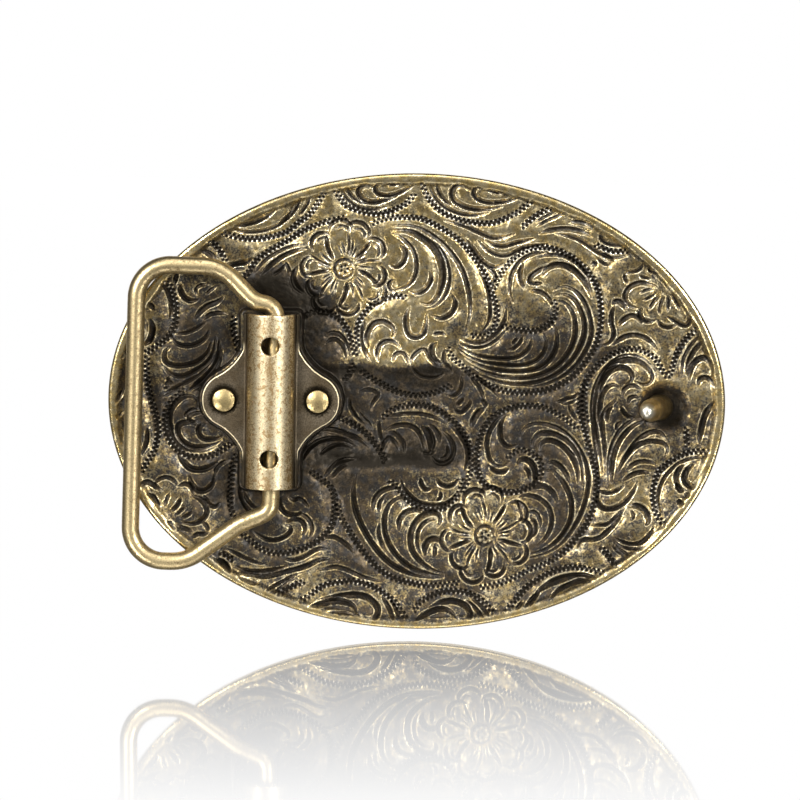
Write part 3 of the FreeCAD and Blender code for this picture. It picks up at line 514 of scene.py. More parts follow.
CUTS_BOTTOM_LEFT = (
    (0.55, ((-42.2, -14.3), (-42.0, -13.3), (-41.4, -13.0), (-40.6, -13.4), (-39.7, -14.0),
            (-38.9, -14.3))),
    (0.45, ((-40.3, -13.3), (-39.4, -12.5), (-38.3, -12.3), (-37.3, -12.8), (-36.6, -13.7))),
    (0.45, ((-36.6, -13.6), (-35.6, -13.3), (-34.8, -13.7), (-34.3, -14.8))),
    (0.6, ((-35.0, -11.9), (-34.6, -13.2), (-33.9, -14.1), (-32.9, -14.4), (-31.9, -13.9), (-31.2, -12.8),
           (-31.1, -11.8))),
    (0.45, ((-32.7, -15.0), (-31.9, -16.3), (-31.0, -16.8), (-30.2, -16.2))),
    (0.55, ((-34.5, -15.1), (-33.2, -15.7), (-32.4, -16.7), (-32.2, -17.8), (-32.9, -18.8), (-34.2, -19.4),
            (-35.8, -19.3))),
    (0.4, ((-38.0, -14.8), (-38.4, -15.8), (-38.7, -16.8))),
    (0.5, ((-36.2, -15.4), (-36.8, -16.6), (-37.8, -17.6))),
    (0.35, ((-35.6, -16.9), (-36.4, -17.6), (-37.1, -18.1))),
    (0.35, ((-34.4, -17.6), (-35.3, -18.2), (-36.3, -18.6))),
    (0.4, ((-36.4, -19.9), (-35.4, -20.2), (-34.4, -20.6))),
    (0.45, ((-34.4, -21.6), (-33.5, -21.0), (-32.5, -21.0), (-31.9, -20.7))),
    (0.45, ((-31.9, -20.5), (-32.3, -19.6), (-33.0, -19.2))),
    (0.45, ((-41.4, -14.8), (-40.4, -15.3), (-39.8, -16.2), (-39.4, -17.4))),
    (0.4, ((-42.0, -15.2), (-41.2, -16.0), (-40.4, -16.9), (-39.8, -17.5))),
    (0.7, ((-38.3, -19.0), (-37.6, -19.9), (-37.2, -20.9))),
    (0.5, ((-27.3, -13.8), (-26.8, -15.4), (-26.0, -16.9), (-25.0, -17.8), (-23.8, -18.1))),
    (0.4, ((-26.5, -14.4), (-25.9, -15.8), (-24.9, -16.8), (-23.9, -17.2))),
    (0.4, ((-29.3, -23.2), (-28.0, -23.7), (-26.6, -24.4), (-24.8, -25.2), (-22.8, -25.8))),
    (0.7, ((-30.5, -24.8), (-29.4, -25.5), (-28.8, -26.4), (-28.4, -27.4))),
    (0.6, ((-27.7, -25.9), (-26.6, -26.4), (-25.2, -26.7), (-23.2, -26.7), (-21.2, -26.4), (-19.6, -25.9))),
    (0.55, ((-27.2, -26.8), (-25.4, -27.2), (-23.4, -27.5), (-21.4, -27.2), (-19.6, -26.7), (-17.8, -26.2),
            (-16.2, -25.6), (-14.8, -24.9), (-13.2, -24.7), (-11.8, -25.0))),
    (0.65, ((-27.0, -27.4), (-26.4, -28.0), (-25.4, -28.3), (-24.0, -28.4))),
    (0.55, ((-20.9, -15.2), (-20.9, -16.4), (-20.3, -17.4), (-19.4, -17.9), (-18.4, -17.9),
            (-17.4, -17.4))),
    (0.45, ((-19.6, -15.2), (-18.9, -15.6), (-18.0, -15.4), (-17.2, -15.9), (-16.5, -16.8))),
    (0.45, ((-19.8, -19.1), (-19.0, -18.7), (-18.0, -18.7), (-17.3, -19.2), (-17.0, -20.2),
            (-17.4, -21.3))),
    (0.5, ((-20.1, -19.5), (-19.3, -19.8), (-19.3, -20.6), (-20.1, -21.3), (-21.3, -21.8), (-22.6, -21.8),
           (-24.0, -21.2), (-25.0, -20.5))),
    (0.45, ((-18.0, -17.8), (-16.9, -18.2), (-16.1, -19.2), (-15.9, -20.4), (-16.3, -21.6))),
    (0.45, ((-20.4, -24.5), (-19.2, -24.9), (-17.8, -24.7), (-16.6, -24.1), (-15.5, -23.4), (-14.4, -23.1),
            (-13.0, -23.3))),
    (0.45, ((-15.1, -26.5), (-13.7, -26.2), (-12.2, -25.9), (-10.8, -26.2), (-9.4, -26.8), (-7.8, -27.5),
            (-6.0, -27.9),
            (-4.4, -28.1))),
    (0.45, ((-13.9, -21.5), (-12.7, -21.3), (-11.6, -21.7), (-10.6, -22.4), (-9.4, -23.6))),
    (0.4, ((-22.9, -29.6), (-21.4, -28.8), (-20.0, -28.1), (-18.8, -27.4), (-17.9, -26.9))),
    (0.35, ((-21.7, -30.0), (-20.3, -29.0), (-19.2, -28.2), (-18.1, -27.6))),
)
CUTS_BOTTOM = (
    (0.7, ((-14.9, -31.1), (-13.0, -30.8), (-11.0, -30.4), (-9.0, -30.2), (-7.3, -30.5), (-6.1, -31.3),
           (-5.5, -32.4),
           (-5.8, -33.4), (-6.8, -33.8), (-7.9, -33.6), (-8.5, -32.9))),
    (0.65, ((-16.4, -32.1), (-14.6, -31.7), (-13.0, -31.3), (-11.4, -31.2), (-10.0, -31.5), (-9.1, -32.1),
            (-8.8, -32.9))),
    (0.5, ((-13.8, -32.9), (-12.0, -33.0), (-10.4, -33.1), (-9.2, -33.2))),
    (0.5, ((-4.9, -30.4), (-4.0, -31.7), (-3.4, -32.9), (-3.0, -34.0))),
    (0.4, ((-3.6, -30.9), (-2.8, -32.2), (-2.2, -33.6))),
    (0.65, ((-9.2, -11.6), (-9.5, -13.4), (-9.5, -15.2), (-9.2, -17.0), (-8.5, -18.9), (-7.6, -20.6),
            (-6.5, -22.3),
            (-5.2, -23.9), (-3.6, -25.3), (-1.8, -26.3), (0.4, -27.0), (2.6, -27.3), (4.6, -27.3))),
    (0.55, ((-6.5, -17.2), (-6.3, -15.6), (-5.6, -14.5), (-4.5, -13.8), (-3.2, -13.6), (-2.2, -13.9))),
    (0.4, ((-5.6, -17.4), (-5.5, -16.0), (-4.8, -15.0))),
    (0.6, ((4.6, -27.0), (2.4, -26.8), (0.4, -26.3), (-1.3, -25.3), (-2.8, -23.9), (-3.9, -22.3),
           (-4.6, -20.4),
           (-4.7, -18.4), (-4.3, -16.8), (-3.5, -15.7), (-2.3, -15.1), (-1.1, -15.3))),
    (0.45, ((-5.4, -19.0), (-5.5, -20.8), (-5.0, -22.4), (-4.2, -23.6))),
    (0.5, ((-2.3, -12.2), (-1.9, -13.4), (-1.0, -14.6), (0.2, -15.6), (1.6, -16.1), (3.2, -16.2),
           (4.7, -15.9),
           (5.8, -15.1), (6.4, -14.2))),
    (0.55, ((0.8, -12.0), (1.0, -13.0), (1.6, -13.7), (2.5, -13.6))),
    (0.55, ((3.3, -12.0), (3.9, -12.8), (4.9, -13.2), (5.9, -12.9), (6.6, -12.2))),
    (0.4, ((3.9, -14.0), (3.9, -15.0), (3.3, -15.6))),
    (0.6, ((-2.4, -20.2), (-2.4, -18.8), (-1.9, -17.8), (-1.0, -17.2), (0.2, -17.0), (1.4, -17.4))),
    (0.65, ((3.4, -19.6), (3.9, -18.7), (3.8, -17.8), (3.0, -17.4), (2.0, -17.5), (0.9, -18.1),
            (0.0, -19.1),
            (-0.5, -20.4), (-0.6, -21.8), (-0.3, -23.2), (0.5, -24.4), (1.6, -25.4), (3.0, -26.2),
            (4.6, -26.7))),
    (0.4, ((3.3, -18.4), (2.3, -18.5), (1.3, -19.1), (0.6, -20.2), (0.4, -21.5), (0.6, -22.9),
           (1.3, -24.0))),
    (0.7, ((4.0, -21.9), (3.3, -21.4), (2.5, -21.5), (1.9, -22.1), (1.6, -23.0), (1.7, -23.9))),
    (0.45, ((3.0, -22.4), (3.2, -23.2), (3.0, -24.2))),
    (0.6, ((0.3, -33.9), (1.4, -33.2), (2.6, -32.6), (3.8, -32.2), (5.0, -32.2), (6.0, -32.7),
           (6.5, -33.2))),
    (0.65, ((2.5, -32.0), (4.0, -31.3), (5.6, -30.9), (7.0, -31.1), (8.3, -31.8), (8.8, -32.8),
            (8.4, -33.5),
            (7.4, -33.7), (6.5, -33.2))),
    (0.45, ((1.7, -34.0), (3.4, -34.0), (5.0, -33.9), (6.0, -33.5))),
    (0.45, ((7.9, -30.8), (9.2, -31.6), (10.2, -32.6), (10.9, -33.5))),
    (0.4, ((8.9, -30.5), (10.2, -31.4), (11.2, -32.4), (11.9, -33.3))),
    (0.35, ((17.2, -31.7), (17.9, -30.8), (18.7, -29.8), (19.4, -29.1))),
    (0.4, ((15.9, -32.1), (16.3, -31.4), (16.9, -30.7))),
    (0.35, ((17.9, -31.4), (18.6, -30.3), (19.6, -29.1))),
    (0.8, ((28.2, -26.8), (26.0, -26.7), (24.0, -26.9), (22.0, -27.5), (20.4, -28.3), (19.0, -29.3))),
    (0.5, ((27.5, -27.3), (25.8, -27.4), (24.2, -27.9), (22.8, -28.6), (21.8, -29.4), (21.2, -30.3))),
)
CUTS_RIGHT_EDGE = (
    (0.35, ((43.3, 11.0), (42.2, 9.6), (41.2, 7.8), (40.8, 5.8), (40.9, 4.4))),
    (0.5, ((43.8, 10.2), (42.6, 8.6), (41.8, 6.8), (41.5, 4.9))),
    (0.65, ((41.9, 4.0), (42.1, 5.6), (42.8, 6.9), (43.8, 7.5), (44.7, 7.2), (45.3, 6.0), (45.2, 5.0))),
    (0.55, ((43.2, 3.2), (43.6, 4.2), (44.4, 4.5), (45.3, 4.0), (45.9, 3.0))),
    (0.65, ((45.7, 0.8), (44.9, -0.4), (44.3, -1.8), (43.9, -3.6), (43.6, -5.8))),
    (0.35, ((44.6, -7.8), (42.8, -8.0), (41.0, -8.7), (39.6, -9.8), (38.4, -11.3), (37.7, -13.0),
            (37.5, -15.0),
            (38.0, -17.2))),
    (0.6, ((41.3, -9.1), (40.5, -10.2), (40.3, -11.6), (40.9, -13.0))),
    (0.65, ((42.9, -8.9), (41.9, -9.9), (41.5, -11.2), (42.1, -12.2), (43.0, -12.3), (43.7, -11.4),
            (44.3, -10.1))),
    (0.6, ((41.4, -13.9), (42.4, -13.6))),
)
CUTS = (CUTS_TOP_LEFT + CUTS_TOP + CUTS_TOP_RIGHT + CUTS_LEFT + CUTS_CENTRE + CUTS_RIGHT_CENTRE + CUTS_RIGHT
        + CUTS_RIGHT_EDGE + CUTS_BOTTOM_LEFT + CUTS_BOTTOM)

# Beaded borders: two rows of punched pits along each line
BEAD_LINES = (
    ((-30.2, 25.6), (-28.6, 25.1), (-26.5, 24.7), (-23.6, 24.9), (-20.5, 25.8), (-18.6, 27.3),
     (-16.9, 28.6),
     (-15.6, 30.5), (-14.7, 32.0)),
    ((-32.0, 24.4), (-31.2, 23.6), (-30.4, 22.6), (-29.8, 21.3)),
    ((-27.6, 18.5), (-26.4, 19.3), (-25.5, 20.8), (-24.3, 22.0), (-22.5, 23.2), (-20.2, 24.6),
     (-18.0, 26.0),
     (-15.8, 27.0), (-13.7, 27.7), (-11.2, 28.3)),
    ((-12.9, 32.3), (-12.3, 31.3), (-11.3, 30.1), (-9.7, 29.4), (-7.6, 28.9), (-5.4, 29.0), (-3.3, 29.8),
     (-1.8, 30.8), (-0.8, 32.1)),
    ((-7.2, 27.4), (-6.0, 27.9), (-4.4, 28.3), (-2.0, 28.4), (0.2, 28.2), (2.0, 27.5), (4.0, 26.4),
     (6.0, 25.1),
     (7.6, 23.5), (9.0, 21.7), (10.2, 19.8), (11.0, 17.8), (11.8, 15.5), (12.2, 13.6), (12.0, 12.0),
     (11.2, 10.6),
     (10.0, 10.1), (8.4, 10.2)),
    ((0.4, 33.6), (0.7, 32.4), (1.8, 30.8), (3.6, 29.2), (6.0, 28.2), (8.5, 27.7), (11.0, 27.7),
     (13.0, 28.4),
     (15.2, 29.6), (17.0, 31.1)),
    ((15.8, 27.2), (16.8, 28.1), (18.2, 29.2), (19.9, 30.1)),
    ((11.6, 17.6), (12.2, 19.0), (13.2, 20.7), (14.8, 22.5), (16.8, 23.7), (19.0, 24.1), (21.2, 23.7),
     (23.2, 22.8),
     (25.2, 21.3), (26.7, 19.5), (27.7, 17.4), (28.1, 15.0), (28.2, 12.8), (27.9, 10.6), (27.2, 8.5),
     (26.1, 6.6),
     (24.7, 4.8), (23.0, 3.4), (21.2, 2.4), (19.2, 1.8), (16.8, 1.5), (14.4, 1.6), (12.2, 2.1), (10.2, 3.1),
     (8.2, 4.3), (6.6, 5.8), (5.3, 6.9), (4.7, 8.2)),
    ((13.2, 11.8), (15.0, 11.3), (17.0, 11.1), (18.8, 11.3), (20.2, 12.2), (21.1, 13.5), (21.2, 14.8),
     (20.8, 15.8)),
    ((27.1, 24.6), (28.4, 24.1), (29.8, 23.7), (31.9, 23.7)),
    ((-38.9, 18.1), (-38.2, 17.3), (-37.7, 16.2), (-37.4, 14.8), (-37.3, 13.2), (-37.4, 11.4), (-38.1, 9.8),
     (-39.6, 8.4), (-41.8, 7.0)),
    ((-41.7, 6.3), (-41.7, 4.8), (-41.6, 3.0), (-41.2, 0.6), (-40.6, -1.6), (-40.0, -3.8), (-39.9, -5.8),
     (-40.3, -7.8), (-41.1, -9.4), (-42.3, -11.3)),
    ((-36.0, 1.2), (-37.1, 0.2), (-38.1, -1.0), (-38.7, -2.5), (-38.9, -4.2), (-38.4, -6.0), (-37.3, -7.6),
     (-35.7, -8.8), (-33.8, -9.2), (-31.9, -9.0), (-30.0, -8.1), (-28.6, -7.0)),
    ((-28.3, 12.6), (-28.4, 10.8), (-28.0, 9.0), (-27.6, 7.4)),
    ((-27.7, -8.8), (-28.3, -10.6), (-28.5, -12.6), (-28.6, -14.8), (-28.5, -16.8), (-28.0, -18.5)),
    ((-17.4, 13.0), (-15.6, 13.6), (-13.8, 13.4), (-12.2, 12.6), (-11.2, 11.4), (-10.5, 10.0), (-10.1, 8.4),
     (-9.5, 6.8)),
    ((-6.0, 15.4), (-7.3, 14.5), (-8.6, 13.0), (-9.3, 11.4), (-9.4, 9.6), (-9.2, 8.0)),
    ((-2.0, 16.0), (-3.6, 16.2), (-5.4, 15.6)),
    ((-9.8, 5.4), (-10.3, 4.2), (-11.2, 3.0)),
    ((-8.6, 4.4), (-7.2, 3.4), (-5.6, 2.5), (-3.8, 1.6), (-1.8, 0.9), (0.4, 0.7), (2.4, 1.1), (4.0, 1.8),
     (5.2, 2.4)),
    ((-11.9, -2.8), (-10.4, -3.6), (-9.0, -4.4), (-7.6, -5.5), (-6.4, -6.8), (-5.3, -8.4), (-4.8, -9.6)),
    ((-5.2, -2.8), (-4.2, -1.9), (-2.6, -1.1), (-0.6, -0.8), (1.6, -0.9), (3.4, -1.6), (5.0, -2.6),
     (6.4, -3.9),
     (7.4, -5.2), (8.2, -6.8), (8.6, -8.6), (8.6, -10.6), (8.1, -12.4), (7.3, -14.0)),
    ((24.9, -3.9), (23.8, -3.0), (22.2, -1.9), (20.4, -1.0), (18.4, -0.5), (16.2, -0.6), (14.2, -1.1),
     (12.4, -2.0),
     (11.0, -3.4), (10.1, -5.2), (9.6, -7.2), (9.4, -9.2), (9.7, -11.4), (10.8, -12.9), (12.6, -13.6),
     (14.8, -14.0),
     (16.8, -13.6), (18.4, -12.7), (19.3, -11.4), (19.5, -10.0), (19.0, -8.8), (17.9, -8.0), (16.6, -7.4),
     (15.2, -7.8), (14.2, -8.8)),
    ((38.7, 4.3), (37.9, 5.3), (37.0, 6.8), (35.6, 8.0), (33.8, 8.6), (31.8, 8.4), (29.8, 7.5), (28.0, 6.0),
     (26.6, 4.2), (25.6, 2.0), (25.3, -0.2), (25.6, -2.4), (26.3, -4.8), (27.0, -7.2), (27.7, -9.6),
     (28.1, -12.0),
     (28.0, -14.4), (27.4, -16.8), (26.4, -19.0), (24.8, -21.2), (22.8, -23.3), (20.4, -24.9),
     (17.8, -25.9),
     (15.4, -27.2), (12.8, -28.2), (10.4, -28.7)),
    ((26.2, 3.2), (25.9, 1.2), (26.0, -0.8), (26.4, -2.8)),
    ((42.8, 12.0), (41.3, 10.3), (40.2, 8.6), (39.5, 6.6), (39.0, 4.9)),
    ((41.7, -3.4), (41.7, -4.8), (41.9, -6.4)),
    ((45.0, -7.0), (43.2, -7.0), (41.2, -7.6), (39.2, -8.8), (37.7, -10.2), (37.0, -12.0), (36.8, -14.0),
     (37.0, -16.0), (37.8, -17.6), (38.7, -18.5)),
    ((29.0, -22.2), (29.9, -23.2), (30.7, -24.3), (31.5, -25.1)),
    ((14.2, -32.4), (15.2, -31.2), (16.4, -29.8), (17.8, -28.3), (19.6, -27.1), (21.8, -26.0),
     (24.2, -25.4),
     (26.6, -25.5), (29.5, -26.1)),
    ((0.1, -32.5), (1.0, -31.2), (2.4, -30.3), (4.2, -29.6), (6.2, -29.4), (8.2, -29.6), (10.0, -30.4),
     (11.3, -31.4), (12.4, -32.6)),
    ((-17.6, -31.1), (-16.4, -30.5), (-15.2, -29.6), (-13.6, -28.7), (-11.6, -28.3), (-9.2, -28.1),
     (-7.2, -28.6),
     (-5.2, -29.5), (-3.4, -30.8), (-2.2, -32.2), (-1.2, -33.4)),
    ((-21.0, -30.1), (-19.8, -29.4), (-18.4, -28.8), (-17.0, -28.2)),
    ((-16.2, -11.2), (-14.6, -12.4), (-13.2, -13.5), (-12.5, -15.0), (-12.4, -17.0), (-12.6, -19.0),
     (-13.6, -20.7),
     (-15.2, -22.1), (-17.2, -23.2), (-19.4, -23.8), (-21.6, -23.9), (-23.6, -23.3), (-25.2, -22.1),
     (-26.6, -21.0)),
    ((-12.0, -16.4), (-11.5, -18.2), (-10.4, -20.0), (-9.0, -22.0), (-7.4, -24.1), (-5.6, -26.0),
     (-3.4, -27.4),
     (-1.0, -28.1), (1.6, -28.5), (4.4, -28.5), (7.0, -28.1)),
    ((-30.0, -23.9), (-29.0, -24.4), (-28.0, -25.0)),
    ((-3.9, -12.6), (-2.8, -13.5), (-1.6, -15.0), (0.0, -16.2), (2.0, -16.9), (4.2, -16.7), (5.8, -15.6),
     (6.8, -14.2), (7.6, -12.4)),
)

# Flowers: centre, radius, turn in degrees, and the petals' number
FLOWERS = (
    ((-11.5, 20.3), 7.0, 12.0, 5),
    ((10.9, -20.7), 7.0, 95.0, 5),
)

# Colours, as linear reflectance
GOLD = (0.56, 0.41, 0.16)
PALE_GOLD = (0.64, 0.53, 0.31)
CHAMPAGNE = (0.58, 0.46, 0.25)
RIVET_GOLD = (0.47, 0.365, 0.17)
SILVERED = (0.66, 0.62, 0.52)
PRONG_GOLD = (0.5, 0.36, 0.15)
BARREL_GOLD = (0.84, 0.72, 0.47)
BARREL_TAN = (0.3, 0.2, 0.09)
BRONZE = (0.22, 0.16, 0.08)
STEEL = (0.42, 0.4, 0.36)
EAR_BROWN = (0.105, 0.078, 0.046)
EAR_GREY = (0.155, 0.125, 0.086)
# Dark colours that stand for patina and for painted shade alike; the near-black one for soot and painted
# shade
PATINA_AND_SHADE_BROWN = (0.06, 0.044, 0.026)
PATINA_AND_SHADE_SLATE = (0.032, 0.029, 0.026)
SOOT_AND_SHADE = (0.013, 0.01, 0.006)
WHITE = (1, 1, 1, 1)

# Noise: waves per metre and detail
CAST_FINE = (3600, 2.0)
CAST_LUMPS = (1300, 3.0)
CAST_HUES = (900, 3.0)
CAST_CLOUDS = (160, 4.0)
METAL_FINE = (4200, 2.0)
METAL_PORES = (1700, 2.0)
WIRE_STAINS = (260, 5.0, 0.6)
BRACKET_STAINS = (300, 4.0)
PRONG_LUMPS = (900, 3.0)

# Bumps: height in metres and strength
CAST_FINE_BUMP = (0.00004, 0.5)
METAL_FINE_BUMP = (0.00003, 0.5)
PORE_BUMP = (0.00005, 0.4)
LUMP_BUMP = (0.00008, 0.4)

# Shading ranges, as (from low, from high), with (to low, to high) after them where it isn't 0 to 1
CAST_SPECKLE = (0.36, 0.64, -0.13, 0.13)
CAST_MOTTLE = (0.35, 0.65, -0.14, 0.14)
CAST_DRIFT = (0.3, 0.7, -0.2, 0.2)
CAST_DEEP = (0.55, 1.0)
CAST_SOOT_AND_SHADE = (0.95, 1.45)
CAST_DARK = (0.12, 0.84)
CAST_GILT = (0.38, 0.62)
CAST_STEEL = (0.1, 0.6)
CAST_SILVER = (0.2, 1.0, 0.0, 0.7)
CAST_PATINA_AND_SHADE = (0.4, 0.6)
CAST_METAL = (0.2, 1.0, 1.0, 0.85)
CAST_ROUGH = (0.0, 1.0, 0.26, 0.42)
LUMP_ROUGH = (0.3, 0.7, -0.06, 0.06)
WIRE_PORED = (0.56, 0.68, 0.0, 0.7)
WIRE_STAINED = (0.45, 0.75, 0.0, 0.5)
WIRE_SPECKLE = (0.38, 0.66, -0.15, 0.5)
WIRE_ROUGH = (0.0, 1.0, 0.34, 0.5)
BARREL_PORED = (0.55, 0.64, 0.0, 0.9)
BARREL_SPECKLE = (0.4, 0.62, -0.15, 0.65)
BARREL_BLOTCHES = (0.35, 0.65)
BARREL_STAINED = (0.5, 0.8, 0.0, 0.4)
BARREL_ROUGH = (0.0, 1.0, 0.32, 0.48)
EAR_MOTTLE = (0.36, 0.64)
EAR_GRIME = (0.35, 0.65, 0.0, 0.5)
EAR_EDGES = (0.508, 0.53)
STRIP_SOOT_AND_SHADE = (0.0, 1.0, 0.8, 0.0)
PRONG_MIX = (0.35, 0.65)
PRONG_ROUGH = (0.3, 0.7, 0.3, 0.44)

# How much cuts, their floors and worn edges change the cast brass, and how much duller the ears are
CUT_SHADE = 0.25
DEEP_SHADE = 0.8
EDGE_SHINE = 0.8
EAR_DULL = 0.06

# Places on the bracket and the prong, in millimetres, as ranges; the barrel's middle stripe and flanks, the
# rings round the rivets and the prong's root take painted shade
BARREL_FOOT = (-1.9, -1.2)
BARREL_SIDE = (3.3, 3.75)
BARREL_MIDDLE_SHADE = (0.1, 0.8, 0.9, 0.0)
FLANK_SHADE = (2.7, 3.6, 0.0, 0.5)
RIVET_SHADE_RING = (1.9, 2.75, 1.0, 0.0)
EAR_ENDS = (7.8, 9.3, 1.0, 0.0)
PRONG_TIP = (-6.6, -5.4)
PRONG_ROOT_SHADE = (0.2, 2.2)

# Softly rounded skins, as (voxel, smoothing steps)
BRACKET_SKIN = (0.11, 6)
RIVET_SKIN = (0.08, 4)
SKIN_SOFTNESS = 0.5

# Floor, and the white studio round it, with angles in degrees from the buckle's facing direction
FLOOR_SIZE = 3000.0
FLOOR_Z = -36.3
FLOOR_FADE = 135.0
FLOOR_GLOSS = 0.78
FLOOR_ROUGH = 0.03
FLOOR_LIGHT = 0.18
TENT_OPEN = (12.0, 30.0)
TENT_FADE = (42.0, 76.0)
TENT_LIGHT = 1.2
TENT_OPENING = 0.3
TENT_DARK = 0.05
TENT_FLOOR = (-0.4, 0.1, 0.35, 1.0)
TENT_ROOF = (0.15, 0.6, 1.0, 0.5)
BACKDROP = (30.0, 55.0)

# Lights: name, place, size and watts
LIGHTS = (
    ("left_panel", (-320, -420, 200), 140, 3.4),
    ("right_panel", (340, -400, 160), 140, 2.6),
    ("top_panel", (0, -300, 450), 300, 1.0),
)

# Camera
SENSOR = 36.0
VIEW_WIDTH = 123.05
CAMERA_DISTANCE = 520.0
CAMERA_ELEVATION = 5.0
CAMERA_ROLL = 0.9
CAMERA_AIM = (-2.58, 0.0, 0.37)
CAMERA_CLIP = (10, 50000)


def smooth_line(points, step=LINE_STEP):
    """Points every step mm along a Catmull-Rom curve through the given ones."""
    known = np.array(points, float)
    before = 2 * known[0] - known[1]
    after = 2 * known[-1] - known[-2]
    held = np.vstack([before, known, after])
    dense = []
    for k in range(len(known) - 1):
        p0, p1, p2, p3 = held[k:k + 4]
        t = np.linspace(0, 1, CURVE_STEPS, endpoint=False)[:, None]
        dense.append(0.5 * (2 * p1 + (p2 - p0) * t + (2 * p0 - 5 * p1 + 4 * p2 - p3) * t**2
                            + (3 * p1 - p0 - 3 * p2 + p3) * t**3))
    line = np.vstack(dense + [known[-1:]])
    travelled = np.concatenate([[0], np.cumsum(np.hypot(*np.diff(line, axis=0).T))])
    places = np.arange(0, travelled[-1] + step / 2, step)
    return np.stack([np.interp(places, travelled, line[:, k]) for k in (0, 1)], 1)


def directions(line):
    """Unit tangents of a line of points."""
    along = np.gradient(line, axis=0)
    return along / np.maximum(np.linalg.norm(along, axis=1), EPSILON)[:, None]


def polar(centre, radius, degrees):
    """A point at a distance and direction from a centre."""
    angle = math.radians(degrees)
    return centre[0] + radius * math.cos(angle), centre[1] + radius * math.sin(angle)


def turned(x, z, degrees):
    """Coordinates along axes that are turned by an angle."""
    angle = math.radians(degrees)
    return x * math.cos(angle) + z * math.sin(angle), z * math.cos(angle) - x * math.sin(angle)


def smooth_step(low, high, value):
    """0 below low, 1 above high and an S curve between."""
    t = np.clip((value - low) / (high - low), 0, 1)
    return t * t * (3 - 2 * t)


def ellipse_share(x, z, inset=0.0):
    """How far out a point lies: 1 on the oval that is inset from the plate's edge."""
    return np.sqrt((x / (HALF_X - inset)) ** 2 + (z / (HALF_Z - inset)) ** 2)


